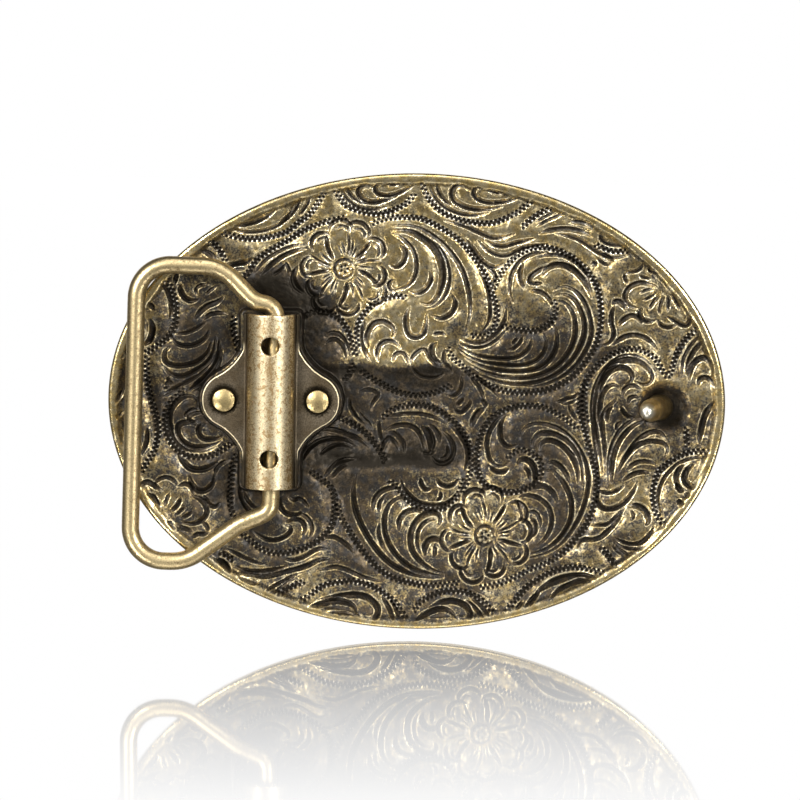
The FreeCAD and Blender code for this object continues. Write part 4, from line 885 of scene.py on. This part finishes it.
class Relief:
    """A height field over the oval: depth grows into the metal, away from the viewer of that face."""

    def __init__(self, grains):
        self.xs = np.arange(-HALF_X, HALF_X + CELL, CELL)
        self.zs = np.arange(-HALF_Z, HALF_Z + CELL, CELL)
        self.x, self.z = np.meshgrid(self.xs, self.zs, indexing="ij")
        self.depth = np.zeros_like(self.x)
        self.cut = np.zeros_like(self.x)
        for cells, height, seed in grains:
            lumps = np.random.default_rng(seed).normal(size=self.x.shape)
            lumps = self.blurred(lumps, cells)
            self.depth += height * lumps / lumps.std()

    def window(self, low, high, margin):
        """The slices of the grid that cover a box."""
        starts = ((0, self.xs[0]), (1, self.zs[0]))
        i0, j0 = (int((low[k] - margin - start) / CELL) for k, start in starts)
        i1, j1 = (int((high[k] + margin - start) / CELL) + 2 for k, start in starts)
        return slice(max(i0, 0), max(i1, 0)), slice(max(j0, 0), max(j1, 0))

    def groove(self, points, width, deep, lip, skew):
        """A tapered groove along a smooth line, its deepest point shifted by skew towards its outer side."""
        line = smooth_line(points)
        along = directions(line)
        turn = np.sum(np.cross(along[:-1], along[1:]))
        outer = -1.0 if turn > 0 else 1.0
        share = np.linspace(0, 1, len(line))
        taper = np.clip(np.minimum(share / TAPER_IN, (1 - share) / TAPER_OUT), 0, 1) ** TAPER_CURVE
        half = width / 2 * (THIN_END + (1 - THIN_END) * taper)
        area = self.window(line.min(0), line.max(0), width + LIP_REACH)
        x, z = self.x[area], self.z[area]
        if x.size == 0:
            return
        best = np.full(x.shape, FAR)
        side = np.ones(x.shape)
        near = np.zeros(x.shape, int)
        cells = int((width + LIP_REACH) / CELL) + 1
        for k in range(len(line)):
            i = int((line[k, 0] - x[0, 0]) / CELL)
            j = int((line[k, 1] - z[0, 0]) / CELL)
            part = slice(max(i - cells, 0), max(i + cells, 0)), slice(max(j - cells, 0), max(j + cells, 0))
            dx, dz = x[part] - line[k, 0], z[part] - line[k, 1]
            distance = dx * dx + dz * dz
            closer = distance < best[part]
            best[part] = np.where(closer, distance, best[part])
            side[part] = np.where(closer, along[k, 0] * dz - along[k, 1] * dx, side[part])
            near[part] = np.where(closer, k, near[part])
        distance = np.sqrt(best)
        reach = half[near]
        u = np.sign(side) * outer * distance / reach
        wall = np.where(u < skew, (u + 1) / (1 + skew), (1 - u) / (1 - skew))
        wall = np.clip(wall, 0, 1)
        sunk = deep * (SHALLOW_END + (1 - SHALLOW_END) * taper[near]) * wall**WALL_CURVE
        rim = lip * taper[near] * np.exp(-((distance - reach - LIP_GAP) / LIP_SPREAD) ** 2)
        rim = np.where(distance > reach, rim, 0)
        self.depth[area] = self.depth[area] + sunk - rim
        self.cut[area] = np.maximum(self.cut[area], wall * taper[near])

    def dot(self, x, z, radius, deep):
        """A round pit, or a bump where deep is negative."""
        area = self.window((x, z), (x, z), radius)
        r2 = ((self.x[area] - x) ** 2 + (self.z[area] - z) ** 2) / radius**2
        shape = np.clip(1 - r2, 0, 1)
        self.depth[area] += deep * shape
        if deep > 0:
            self.cut[area] = np.maximum(self.cut[area], np.sqrt(shape))

    def beads(self, points):
        """Two rows of pits, half a pitch apart, with a small bump between pits of a row."""
        line = smooth_line(points, BEAD_PITCH / 2)
        along = directions(line)
        across = np.stack([-along[:, 1], along[:, 0]], 1)
        self.groove(points, BEAD_BAND, BEAD_BAND_DEPTH, BEAD_LIP, 0.0)
        for k in range(len(line)):
            sign = 1 if k % 2 else -1
            pit = line[k] + sign * BEAD_OFFSET * across[k]
            bump = line[k] - sign * BEAD_OFFSET * across[k]
            self.dot(*pit, BEAD_PIT_RADIUS, BEAD_PIT_DEPTH)
            self.dot(*bump, BEAD_BUMP_RADIUS, -BEAD_BUMP)

    def petal(self, centre, radius, middle, step):
        """A petal that fills step degrees about its middle: two ruffled lobes with folds, and creases."""
        sway = PETAL_SWAY * math.sin(SWAY_PHASE * middle)
        for half in (-LOBE_SHARE, LOBE_SHARE):
            lobe = middle + step * half + sway * half
            size = radius * (1 + PETAL_UNEVEN * math.sin(UNEVEN_PHASE * lobe))
            for corners, width, deep in PETAL_CUTS:
                cut = [polar(centre, size * share, lobe + step * LOBE_SHARE * side)
                       for share, side in corners]
                self.groove(cut, width, deep, PETAL_LIP, CUT_SKEW)
        for side, start, end, width in CREASES:
            crease = []
            for share in (start, (start + end) / 2, end):
                fan = step * side * (CREASE_FAN[0] + CREASE_FAN[1] * share)
                crease.append(polar(centre, radius * share, middle + fan + sway * (end - share)))
            self.groove(crease, width, CREASE_SLOPE * width, CREASE_LIP, CREASE_SKEW)

    def flower(self, centre, radius, turn, petals):
        """A full-blown flower: petals round a beaded eye."""
        step = 360 / petals
        for k in range(petals):
            self.petal(centre, radius, turn + k * step, step)
        ring, width, deep, lip = EYE_RING
        self.groove([polar(centre, ring, angle) for angle in range(0, 361, 30)], width, deep, lip, 0.0)
        for count, distance, size, deep in EYE_DOTS:
            for k in range(count):
                self.dot(*polar(centre, distance, 360 / count * k), size, deep)

    def engrave(self, lines, cuts, slope):
        """Beaded borders, cuts and flowers, laid into one face."""
        for points in lines:
            self.beads(points)
        for width, points in cuts:
            wide = CUT_WIDEN * width + CUT_WIDEN_BY
            self.groove(points, wide, slope * wide, CUT_LIP, CUT_SKEW)
        for petals in FLOWERS:
            self.flower(*petals)

    def blurred(self, field, cells):
        """The field averaged over a square of cells each way, three times over, close to a Gaussian."""
        for _ in range(3):
            for axis in (0, 1):
                padded = np.concatenate([np.repeat(np.take(field, [0], axis), cells + 1, axis), field,
                                         np.repeat(np.take(field, [-1], axis), cells, axis)], axis)
                total = np.cumsum(padded, axis)
                span = 2 * cells + 1
                length = field.shape[axis]
                field = (np.take(total, range(span, span + length), axis)
                         - np.take(total, range(length), axis)) / span
        return field

    def raised_edges(self):
        """1 where the face stands proud of its surroundings, 0 elsewhere."""
        return smooth_step(*EDGE_RISE, self.blurred(self.depth, EDGE_CELLS) - self.depth)


def dish(x, z):
    """Depth of the plate's back below its rim: a flat rim, a small step and a shallow bowl."""
    share = ellipse_share(x, z, RIM_WIDTH)
    bowl = RIM_STEP + (DISH_DEPTH - RIM_STEP) * (1 - np.clip(share, 0, 1) ** 2)
    return bowl * (1 - smooth_step(*RIM_FOOT, share))


def footprint(relief, node):
    """Where a CAD node covers the relief's grid, seen along Y."""
    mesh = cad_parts[node].data
    mesh.calc_loop_triangles()
    corners = np.array([v.co for v in mesh.vertices]) / MM
    covered = np.zeros(relief.x.shape, bool)
    for triangle in mesh.loop_triangles:
        a, b, c = corners[list(triangle.vertices)][:, [0, 2]]
        area = relief.window(np.minimum(np.minimum(a, b), c), np.maximum(np.maximum(a, b), c), CELL)
        x, z = relief.x[area], relief.z[area]
        signs = np.array([(q[0] - p[0]) * (z - p[1]) - (q[1] - p[1]) * (x - p[0])
                          for p, q in ((a, b), (b, c), (c, a))])
        covered[area] |= np.all(signs >= -FOOTPRINT_SLACK, 0) | np.all(signs <= FOOTPRINT_SLACK, 0)
    return covered


def hollow_reach(x):
    """1 along the middle of the hollow, fading to 0 past its ends."""
    return smooth_step(*HOLLOW_X[:2], x) * (1 - smooth_step(*HOLLOW_X[2:], x))


def hollow_side(x, z):
    """How far a point lies inside the hollow's wavy top and bottom, negative outside."""
    wave = HOLLOW_WAVE * np.sin(HOLLOW_RIPPLE * x)
    return np.minimum(z - HOLLOW_Z[0] + wave, HOLLOW_Z[1] - z + wave)


def tone_of(x, z):
    """How dark each place on the back is: patina and wear, with painted shade round the bracket and in the
    hollow, painted light just outside the hollow, and a painted highlight at the lower right.
    """
    tone = np.full(x.shape, TONE_BASE)
    for (cx, cz), (rx, rz), turn, amount in TONES:
        u, v = turned(x - cx, z - cz, turn)
        tone += amount * np.exp(-(((u / rx) ** 2 + (v / rz) ** 2) ** TONE_FALL))
    inside = hollow_side(x, z)
    within = smooth_step(-HOLLOW_SOFT, HOLLOW_SOFT, inside)
    shade = within * np.exp(-np.maximum(inside, 0) / HOLLOW_SHADE)
    glow = (1 - within) * np.exp(np.minimum(inside, 0) / HOLLOW_GLOW)
    # Patina and painted shade just inside the hollow's walls, wear and painted light just outside them
    tone += hollow_reach(x) * (HOLLOW_TONE * shade - HOLLOW_WEAR_AND_LIGHT * glow)
    return np.clip(tone, 0, TONE_LIMIT)


def new_piece(name, mesh):
    """An object for a smooth-shaded mesh, linked to the scene."""
    mesh.shade_smooth()
    piece = bpy.data.objects.new(name, mesh)
    bpy.context.scene.collection.objects.link(piece)
    return piece


def grid_mesh(name, relief, y, attributes):
    """A mesh of the relief's cells inside the rounded edge, its border snapped to the oval."""
    share = ellipse_share(relief.x, relief.z, EDGE_ROUND)
    keep = share <= 1.0
    cells = keep[:-1, :-1] & keep[1:, :-1] & keep[:-1, 1:] & keep[1:, 1:]
    used = np.zeros(keep.shape, int)
    for di in (0, 1):
        for dj in (0, 1):
            used[di:used.shape[0] - 1 + di, dj:used.shape[1] - 1 + dj] += cells
    picked = used > 0
    number = np.full(keep.shape, -1)
    number[picked] = np.arange(np.count_nonzero(used))
    scale = np.where(picked & (used < 4), 1 / np.maximum(share, EPSILON), 1.0)
    points = np.stack([relief.x * scale, y, relief.z * scale], -1)[picked] * MM
    i, j = np.nonzero(cells)
    quads = np.stack([number[i, j], number[i + 1, j], number[i + 1, j + 1], number[i, j + 1]], 1)
    mesh = bpy.data.meshes.new(name)
    mesh.vertices.add(len(points))
    mesh.vertices.foreach_set("co", points.astype(np.float32).ravel())
    mesh.loops.add(quads.size)
    mesh.loops.foreach_set("vertex_index", quads.astype(np.int32).ravel())
    mesh.polygons.add(len(quads))
    mesh.polygons.foreach_set("loop_start", np.arange(0, quads.size, 4, dtype=np.int32))
    mesh.update(calc_edges=True)
    for key, field in attributes.items():
        layer = mesh.attributes.new(key, "FLOAT", "POINT")
        layer.data.foreach_set("value", field[picked].astype(np.float32))
    return new_piece(name, mesh)


def make_back():
    """The plate's back: rim, dish, hinge boss, prong pit, hollow and all of the engraving."""
    relief = Relief(BACK_GRAIN)
    relief.engrave(BEAD_LINES, CUTS, CUT_SLOPE)
    relief.depth += sum(deep * relief.blurred(relief.cut, cells) for cells, deep in PILLOWS)
    x, z = relief.x, relief.z
    field = 1 - smooth_step(*FIELD_BAND, ellipse_share(x, z, EDGE_ROUND))
    pit = smooth_step(PIT_RADIUS, PIT_RADIUS - PIT_WALL, np.hypot(x - PIT_CENTRE[0], z - PIT_CENTRE[1]))
    covered = relief.blurred(footprint(relief, "hinge_bracket").astype(float), BOSS_CELLS)
    boss = smooth_step(*BOSS_COVER, covered)
    y = dish(x, z) + relief.depth * field + PIT_DEPTH * pit
    y += HOLLOW_DEPTH * hollow_reach(x) * smooth_step(-HOLLOW_WALL, HOLLOW_WALL, hollow_side(x, z))
    y = y * (1 - boss)
    moat = smooth_step(*MOAT_COVER, covered) * (1 - boss)
    rim = smooth_step(*RIM_BAND, ellipse_share(x, z))
    # Painted shade in the prong's pit and in the moat round the boss; the rim is lighter from wear
    tone = np.clip(tone_of(x, z) + PIT_SHADE * pit + MOAT_SHADE * moat - RIM_WEAR * rim, 0, TONE_LIMIT)
    edge = relief.raised_edges() * field * (EDGE_WEAR - tone)
    return grid_mesh("plate_back", relief, y, {"cut": relief.cut * field, "edge": edge, "tone": tone})


def clear_of_medal(points):
    """Whether a line stays outside the front's medallion."""
    return all(math.hypot(x / MEDAL_X, z / MEDAL_Z) > MEDAL_MARGIN for x, z in points)


def make_front():
    """The plate's front: rope border and engraved scrolls round a plain oval medallion."""
    relief = Relief(FRONT_GRAIN)
    cuts = [(width, points) for width, points in CUTS if clear_of_medal(points)]
    relief.engrave(filter(clear_of_medal, BEAD_LINES), cuts, FRONT_SLOPE)
    turns = [math.radians(degrees) for degrees in range(0, 361, 10)]
    relief.beads([(MEDAL_X * math.cos(turn), MEDAL_Z * math.sin(turn)) for turn in turns])
    x, z = relief.x, relief.z
    inner = ellipse_share(x, z, BORDER_WIDTH)
    crown = BORDER_TOP + (CROWN_Y - BORDER_TOP) * (1 - np.clip(inner, 0, 1) ** 2)
    angle = np.arctan2(z / HALF_Z, x / HALF_X)
    across = np.clip((inner - 1) / (1 / (1 - BORDER_WIDTH / HALF_Z) - 1), 0, 1)
    strands = ROPE_FLOOR + (1 - ROPE_FLOOR) * np.abs(np.sin(angle * ROPE_TURNS + across * ROPE_LEAN))
    rope = np.sqrt(np.clip(1 - (2 * across - 1) ** 2, 0, 1)) * strands
    border = smooth_step(*BORDER_BAND, inner)
    y = crown * (1 - border) + (EDGE_FRONT + BORDER_STEP + ROPE_HEIGHT * rope) * border
    y = np.minimum(y - relief.depth * (1 - border), CROWN_Y)
    edge = relief.raised_edges() * (1 - border) + smooth_step(*ROPE_SHINE, rope) * border
    tone = FRONT_TONE + ROPE_SHADE * border * (1 - rope)
    piece = grid_mesh("plate_front", relief, y,
                      {"cut": relief.cut * (1 - border), "edge": edge * (EDGE_WEAR - tone), "tone": tone})
    piece.data.flip_normals()
    return piece


def make_rim():
    """The plate's outer edge: a loft round the oval, from the back's rounded corner to the front's border."""
    corner = [(EDGE_ROUND * (1 - math.sin(math.radians(a))), EDGE_ROUND * (1 - math.cos(math.radians(a))))
              for a in CORNER_TURNS]
    profile = corner + list(RIM_SIDE)
    turn = np.linspace(0, 2 * math.pi, RIM_COUNT, endpoint=False)
    rings = [np.stack([(HALF_X - inset) * np.cos(turn), np.full(RIM_COUNT, y),
                       (HALF_Z - inset) * np.sin(turn)], 1) for inset, y in profile]
    faces = []
    for low in range(0, RIM_COUNT * (len(profile) - 1), RIM_COUNT):
        high = low + RIM_COUNT
        for k in range(RIM_COUNT):
            after = (k + 1) % RIM_COUNT
            faces.append((low + k, high + k, high + after, low + after))
    mesh = bpy.data.meshes.new("plate_rim")
    mesh.from_pydata((np.vstack(rings) * MM).tolist(), [], faces)
    return new_piece("plate_rim", mesh)


class Shading:
    """A node tree being built, with short calls for the nodes that it is made of."""

    def __init__(self, owner, coordinates="Object"):
        owner.use_nodes = True
        self.nodes = owner.node_tree.nodes
        self.links = owner.node_tree.links
        self.place = self.nodes.new("ShaderNodeTexCoord").outputs[coordinates]

    def axes(self):
        """The coordinates' three axes; Object ones are the frame's own, in metres."""
        split = self.nodes.new("ShaderNodeSeparateXYZ")
        self.links.new(self.place, split.inputs[0])
        return split.outputs

    def stored(self, key):
        """A value that the mesh stores at its points."""
        reader = self.nodes.new("ShaderNodeAttribute")
        reader.attribute_name = key
        return reader.outputs["Fac"]

    def noise(self, scale, detail, rough=0.55):
        """A noise texture, as its factor socket."""
        texture = self.nodes.new("ShaderNodeTexNoise")
        for key, value in (("Scale", scale), ("Detail", detail), ("Roughness", rough)):
            texture.inputs[key].default_value = value
        self.links.new(self.place, texture.inputs["Vector"])
        return texture.outputs["Fac"]

    def maths(self, operation, a, b=0.0, clamp=False):
        """One maths step between sockets or numbers."""
        node = self.nodes.new("ShaderNodeMath")
        node.operation = operation
        node.use_clamp = clamp
        for socket, value in zip(node.inputs, (a, b)):
            if isinstance(value, (int, float)):
                socket.default_value = value
            else:
                self.links.new(value, socket)
        return node.outputs[0]

    def total(self, first, *others, clamp=False):
        """The sum of sockets, kept within 0 and 1 at the end if clamp is set."""
        for k, other in enumerate(others, 1):
            first = self.maths("ADD", first, other, clamp and k == len(others))
        return first

    def spread(self, value, low, high, to_low=0.0, to_high=1.0):
        """A clamped remapping of a socket."""
        node = self.nodes.new("ShaderNodeMapRange")
        self.links.new(value, node.inputs["Value"])
        for key, number in (("From Min", low), ("From Max", high), ("To Min", to_low), ("To Max", to_high)):
            node.inputs[key].default_value = number
        return node.outputs["Result"]

    def reach(self, length, low, high, to_low=0.0, to_high=1.0):
        """A clamped remapping of a length in metres, between limits in millimetres."""
        return self.spread(length, low * MM, high * MM, to_low, to_high)

    def blend(self, factor, a, b):
        """A mix of two colours, given as tuples or sockets."""
        node = self.nodes.new("ShaderNodeMix")
        node.data_type = "RGBA"
        self.links.new(factor, node.inputs["Factor"])
        for socket, value in ((node.inputs["A"], a), (node.inputs["B"], b)):
            if isinstance(value, tuple):
                socket.default_value = (*value, 1)
            else:
                self.links.new(value, socket)
        return node.outputs["Result"]

    def bump(self, height, distance, strength, under=None):
        """A bump from a height socket, over an earlier bump if there is one."""
        node = self.nodes.new("ShaderNodeBump")
        node.inputs["Strength"].default_value = strength
        node.inputs["Distance"].default_value = distance
        self.links.new(height, node.inputs["Height"])
        if under is not None:
            self.links.new(under, node.inputs["Normal"])
        return node.outputs["Normal"]

    def length_from(self, x, z):
        """Distance of each point from a line along Y through (x, z)."""
        flatten = self.nodes.new("ShaderNodeVectorMath")
        flatten.operation = "MULTIPLY"
        flatten.inputs[1].default_value = (1, 0, 1)
        self.links.new(self.place, flatten.inputs[0])
        apart = self.nodes.new("ShaderNodeVectorMath")
        apart.operation = "DISTANCE"
        apart.inputs[1].default_value = (x * MM, 0, z * MM)
        self.links.new(flatten.outputs[0], apart.inputs[0])
        return apart.outputs["Value"]

    def surface(self, colour, roughness, normal):
        """Links up the metal surface and returns its shader."""
        shader = self.nodes["Principled BSDF"]
        shader.inputs["Metallic"].default_value = 1.0
        for key, socket in (("Base Color", colour), ("Roughness", roughness), ("Normal", normal)):
            self.links.new(socket, shader.inputs[key])
        return shader


def cast_brass():
    """Old cast brass: grainy, gold on the worn highs, and nearly black where it is cut or unworn and where
    its tone holds painted shade.
    """
    material = bpy.data.materials.new("cast_brass")
    tree = Shading(material)
    cut, edge, tone = (tree.stored(key) for key in ("cut", "edge", "tone"))
    fine, lumps = tree.noise(*CAST_FINE), tree.noise(*CAST_LUMPS)
    clouds, hues = tree.noise(*CAST_CLOUDS), tree.noise(*CAST_HUES)
    deep = tree.spread(cut, *CAST_DEEP)
    # The darkening sums the tone, which holds patina and painted shade, with speckle, cuts and worn edges
    aged_and_shaded = tree.total(tone, tree.spread(fine, *CAST_SPECKLE), tree.spread(lumps, *CAST_MOTTLE),
                      tree.spread(clouds, *CAST_DRIFT), tree.maths("MULTIPLY", deep, DEEP_SHADE),
                      tree.maths("MULTIPLY", cut, CUT_SHADE), tree.maths("MULTIPLY", edge, -EDGE_SHINE))
    dark = tree.spread(aged_and_shaded, *CAST_DARK)
    worn = tree.blend(tree.spread(hues, *CAST_GILT), GOLD, PALE_GOLD)
    worn = tree.blend(tree.spread(cut, *CAST_STEEL), worn, STEEL)
    worn = tree.blend(tree.spread(edge, *CAST_SILVER), worn, SILVERED)
    patina_and_shade = tree.blend(tree.spread(hues, *CAST_PATINA_AND_SHADE), PATINA_AND_SHADE_BROWN, PATINA_AND_SHADE_SLATE)
    colour = tree.blend(tree.spread(aged_and_shaded, *CAST_SOOT_AND_SHADE), tree.blend(dark, worn, patina_and_shade), SOOT_AND_SHADE)
    rough = tree.total(tree.spread(dark, *CAST_ROUGH), tree.spread(lumps, *LUMP_ROUGH))
    normal = tree.bump(lumps, *LUMP_BUMP, tree.bump(fine, *CAST_FINE_BUMP))
    shader = tree.surface(colour, rough, normal)
    tree.links.new(tree.spread(dark, *CAST_METAL), shader.inputs["Metallic"])
    return material


def wrought_brass(name, light):
    """Polished brass with fine pores, faint brown stains and tiny scratches."""
    material = bpy.data.materials.new(name)
    tree = Shading(material)
    fine, pores, stains = (tree.noise(*kind) for kind in (METAL_FINE, METAL_PORES, WIRE_STAINS))
    dark = tree.total(tree.spread(pores, *WIRE_PORED), tree.spread(stains, *WIRE_STAINED),
                      tree.spread(fine, *WIRE_SPECKLE), clamp=True)
    normal = tree.bump(pores, *PORE_BUMP, tree.bump(fine, *METAL_FINE_BUMP))
    tree.surface(tree.blend(dark, light, BRONZE), tree.spread(dark, *WIRE_ROUGH), normal)
    return material


def prong_brass():
    """The prong: a silvered tip on a golden-brown shank, with painted shade at its root in the pit."""
    material = bpy.data.materials.new("prong_brass")
    tree = Shading(material)
    fine, lumps = tree.noise(*METAL_FINE), tree.noise(*PRONG_LUMPS)
    height = tree.axes()["Y"]
    shank = tree.blend(tree.spread(lumps, *PRONG_MIX), PRONG_GOLD, BRONZE)
    colour = tree.blend(tree.reach(height, *PRONG_TIP), SILVERED, shank)
    # Painted shade: the root goes nearly black where it stands in the pit
    colour = tree.blend(tree.reach(height, *PRONG_ROOT_SHADE), colour, SOOT_AND_SHADE)
    normal = tree.bump(lumps, *LUMP_BUMP, tree.bump(fine, *METAL_FINE_BUMP))
    tree.surface(colour, tree.spread(lumps, *PRONG_ROUGH), normal)
    return material


def rivet_shade_rings(tree):
    """1 in the painted shade rings round the rivets' heads, 0 away from them."""
    rings = []
    for node in ("rivet_left", "rivet_right"):
        low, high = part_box(node)
        middle = (low + high) / (2 * MM)
        rings.append(tree.reach(tree.length_from(middle.x, middle.z), *RIVET_SHADE_RING))
    return tree.maths("MAXIMUM", *rings)


def bracket_brass():
    """The bracket: a polished barrel with painted shade down its middle and flanks, and flat ears that have
    gone brown-black between bright edges, with painted shade round the rivets and soot with painted shade at
    the ends past the ears.
    """
    material = bpy.data.materials.new("bracket_brass")
    tree = Shading(material)
    x, y, z = tree.axes()
    fine, pores, stains = (tree.noise(*kind) for kind in (METAL_FINE, METAL_PORES, BRACKET_STAINS))
    off_axis = tree.maths("ABSOLUTE", tree.maths("SUBTRACT", x, HINGE_X * MM))
    flat = tree.maths("MAXIMUM", tree.reach(y, *BARREL_FOOT), tree.reach(off_axis, *BARREL_SIDE))
    # Painted shade: a blotchy darker stripe down the barrel's middle, and darker flanks
    middle_shade = tree.maths("MULTIPLY", tree.reach(off_axis, *BARREL_MIDDLE_SHADE), tree.spread(stains, *BARREL_BLOTCHES))
    dark = tree.total(tree.spread(pores, *BARREL_PORED), tree.spread(fine, *BARREL_SPECKLE), middle_shade,
                      tree.reach(off_axis, *FLANK_SHADE), tree.spread(stains, *BARREL_STAINED), clamp=True)
    barrel = tree.blend(dark, BARREL_GOLD, BARREL_TAN)
    ears = tree.reach(tree.maths("ABSOLUTE", z), *EAR_ENDS)
    # Fine grime, and painted shade in the rings round the rivets
    grime_and_shade = tree.total(tree.spread(fine, *EAR_GRIME), rivet_shade_rings(tree), clamp=True)
    brown = tree.blend(grime_and_shade, tree.blend(tree.spread(stains, *EAR_MOTTLE), EAR_BROWN, EAR_GREY), SOOT_AND_SHADE)
    edges = tree.spread(tree.nodes.new("ShaderNodeNewGeometry").outputs["Pointiness"], *EAR_EDGES)
    brown = tree.blend(tree.maths("MULTIPLY", edges, ears), brown, BARREL_GOLD)
    # Soot and painted shade on the bracket's flat ends, past the ears
    brown = tree.blend(tree.spread(ears, *STRIP_SOOT_AND_SHADE), brown, SOOT_AND_SHADE)
    rough = tree.total(tree.spread(dark, *BARREL_ROUGH), tree.maths("MULTIPLY", flat, EAR_DULL))
    normal = tree.bump(pores, *PORE_BUMP, tree.bump(fine, *METAL_FINE_BUMP))
    tree.surface(tree.blend(flat, barrel, brown), rough, normal)
    return material


def dress(node, material, skin=None):
    """Gives a CAD node its material, and a skin with softly rounded corners if one is asked for."""
    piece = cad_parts[node]
    piece.data.materials.clear()
    piece.data.materials.append(material)
    if skin:
        voxel, smoothing = skin
        remesh = piece.modifiers.new("skin", "REMESH")
        remesh.mode = "VOXEL"
        remesh.voxel_size = voxel * MM
        remesh.use_smooth_shade = True
        soften = piece.modifiers.new("soften", "SMOOTH")
        soften.factor = SKIN_SOFTNESS
        soften.iterations = smoothing
    for face in piece.data.polygons:
        face.use_smooth = True


def make_floor():
    """A plain white floor, glossy close to the buckle."""
    size = FLOOR_SIZE * MM
    z = FLOOR_Z * MM
    mesh = bpy.data.meshes.new("floor")
    corners = [(-size, -size, z), (size, -size, z), (size, size, z), (-size, size, z)]
    mesh.from_pydata(corners, [], [(0, 1, 2, 3)])
    floor = new_piece("floor", mesh)
    material = bpy.data.materials.new("floor_white")
    tree = Shading(material)
    tree.nodes.remove(tree.nodes["Principled BSDF"])
    near = tree.reach(tree.axes()["Y"], -FLOOR_FADE, 0.0, 0.0, FLOOR_GLOSS)
    seen = tree.nodes.new("ShaderNodeLightPath").outputs["Is Camera Ray"]
    white = tree.nodes.new("ShaderNodeEmission")
    tree.links.new(tree.spread(seen, 0.0, 1.0, FLOOR_LIGHT, 1.0), white.inputs["Strength"])
    gloss = tree.nodes.new("ShaderNodeBsdfGlossy")
    gloss.inputs["Roughness"].default_value = FLOOR_ROUGH
    gloss.inputs["Color"].default_value = WHITE
    mix = tree.nodes.new("ShaderNodeMixShader")
    for socket, value in zip(mix.inputs, (near, white.outputs[0], gloss.outputs[0])):
        tree.links.new(value, socket)
    tree.links.new(mix.outputs[0], tree.nodes["Material Output"].inputs["Surface"])
    mesh.materials.append(material)


def cosines(near, far):
    """The cosines of two angles in degrees, smaller cosine first."""
    return math.cos(math.radians(far)), math.cos(math.radians(near))


def make_world():
    """A broad white ring of light on the viewing side, a white backdrop and dim sides."""
    world = bpy.data.worlds.new("studio")
    bpy.context.scene.world = world
    tree = Shading(world, "Generated")
    _, y, z = tree.axes()
    facing = tree.maths("MULTIPLY", y, -1.0)
    front = tree.spread(facing, *cosines(*TENT_FADE), TENT_DARK, TENT_LIGHT)
    opening = tree.spread(facing, *cosines(*TENT_OPEN), 1.0, TENT_OPENING)
    above = tree.maths("MULTIPLY", tree.spread(z, *TENT_FLOOR), tree.spread(z, *TENT_ROOF))
    ring = tree.maths("MULTIPLY", tree.maths("MULTIPLY", front, opening), above)
    seen = tree.nodes.new("ShaderNodeLightPath").outputs["Is Camera Ray"]
    white = tree.maths("MAXIMUM", tree.spread(y, *cosines(*BACKDROP)), seen)
    background = tree.nodes["Background"]
    tree.links.new(tree.maths("MAXIMUM", ring, white), background.inputs["Strength"])
    background.inputs["Color"].default_value = WHITE


def make_light(name, place, size, watts):
    """A soft square light, aimed at the buckle's middle."""
    data = bpy.data.lights.new(name, "AREA")
    data.shape = "SQUARE"
    data.size = size * MM
    data.energy = watts
    lamp = bpy.data.objects.new(name, data)
    lamp.location = Vector(place) * MM
    lamp.rotation_euler = (-lamp.location).to_track_quat("-Z", "Y").to_euler()
    bpy.context.scene.collection.objects.link(lamp)


def make_camera():
    """The camera: level with the buckle but for a small height and a slight roll."""
    height = math.radians(CAMERA_ELEVATION)
    forward = Vector((0, math.cos(height), -math.sin(height)))
    side = Vector((1, 0, 0))
    up = side.cross(forward)
    roll = math.radians(CAMERA_ROLL)
    right = side * math.cos(roll) + up * math.sin(roll)
    top = up * math.cos(roll) - side * math.sin(roll)
    data = bpy.data.cameras.new("camera")
    data.sensor_width = SENSOR
    data.lens = SENSOR * CAMERA_DISTANCE / VIEW_WIDTH
    data.clip_start, data.clip_end = (reach * MM for reach in CAMERA_CLIP)
    camera = bpy.data.objects.new("camera", data)
    matrix = Matrix((right, top, -forward)).transposed().to_4x4()
    matrix.translation = (Vector(CAMERA_AIM) - forward * CAMERA_DISTANCE) * MM
    camera.matrix_world = matrix
    bpy.context.scene.collection.objects.link(camera)
    bpy.context.scene.camera = camera


def main():
    """Builds the plate's pieces, dresses the CAD's own ones, and sets the stage."""
    bpy.context.scene.view_settings.view_transform = "Standard"
    cast = cast_brass()
    for piece in (make_back(), make_rim(), make_front()):
        piece.data.materials.append(cast)
        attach(piece, "buckle")
        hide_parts("plate")
    dress("hinge_bracket", bracket_brass(), BRACKET_SKIN)
    for rivet in ("rivet_left", "rivet_right"):
        dress(rivet, wrought_brass(rivet + "_brass", RIVET_GOLD), RIVET_SKIN)
    dress("hook_prong", prong_brass())
    dress("bail", wrought_brass("bail_brass", CHAMPAGNE))
    make_floor()
    make_world()
    for light in LIGHTS:
        make_light(*light)
    make_camera()


main()
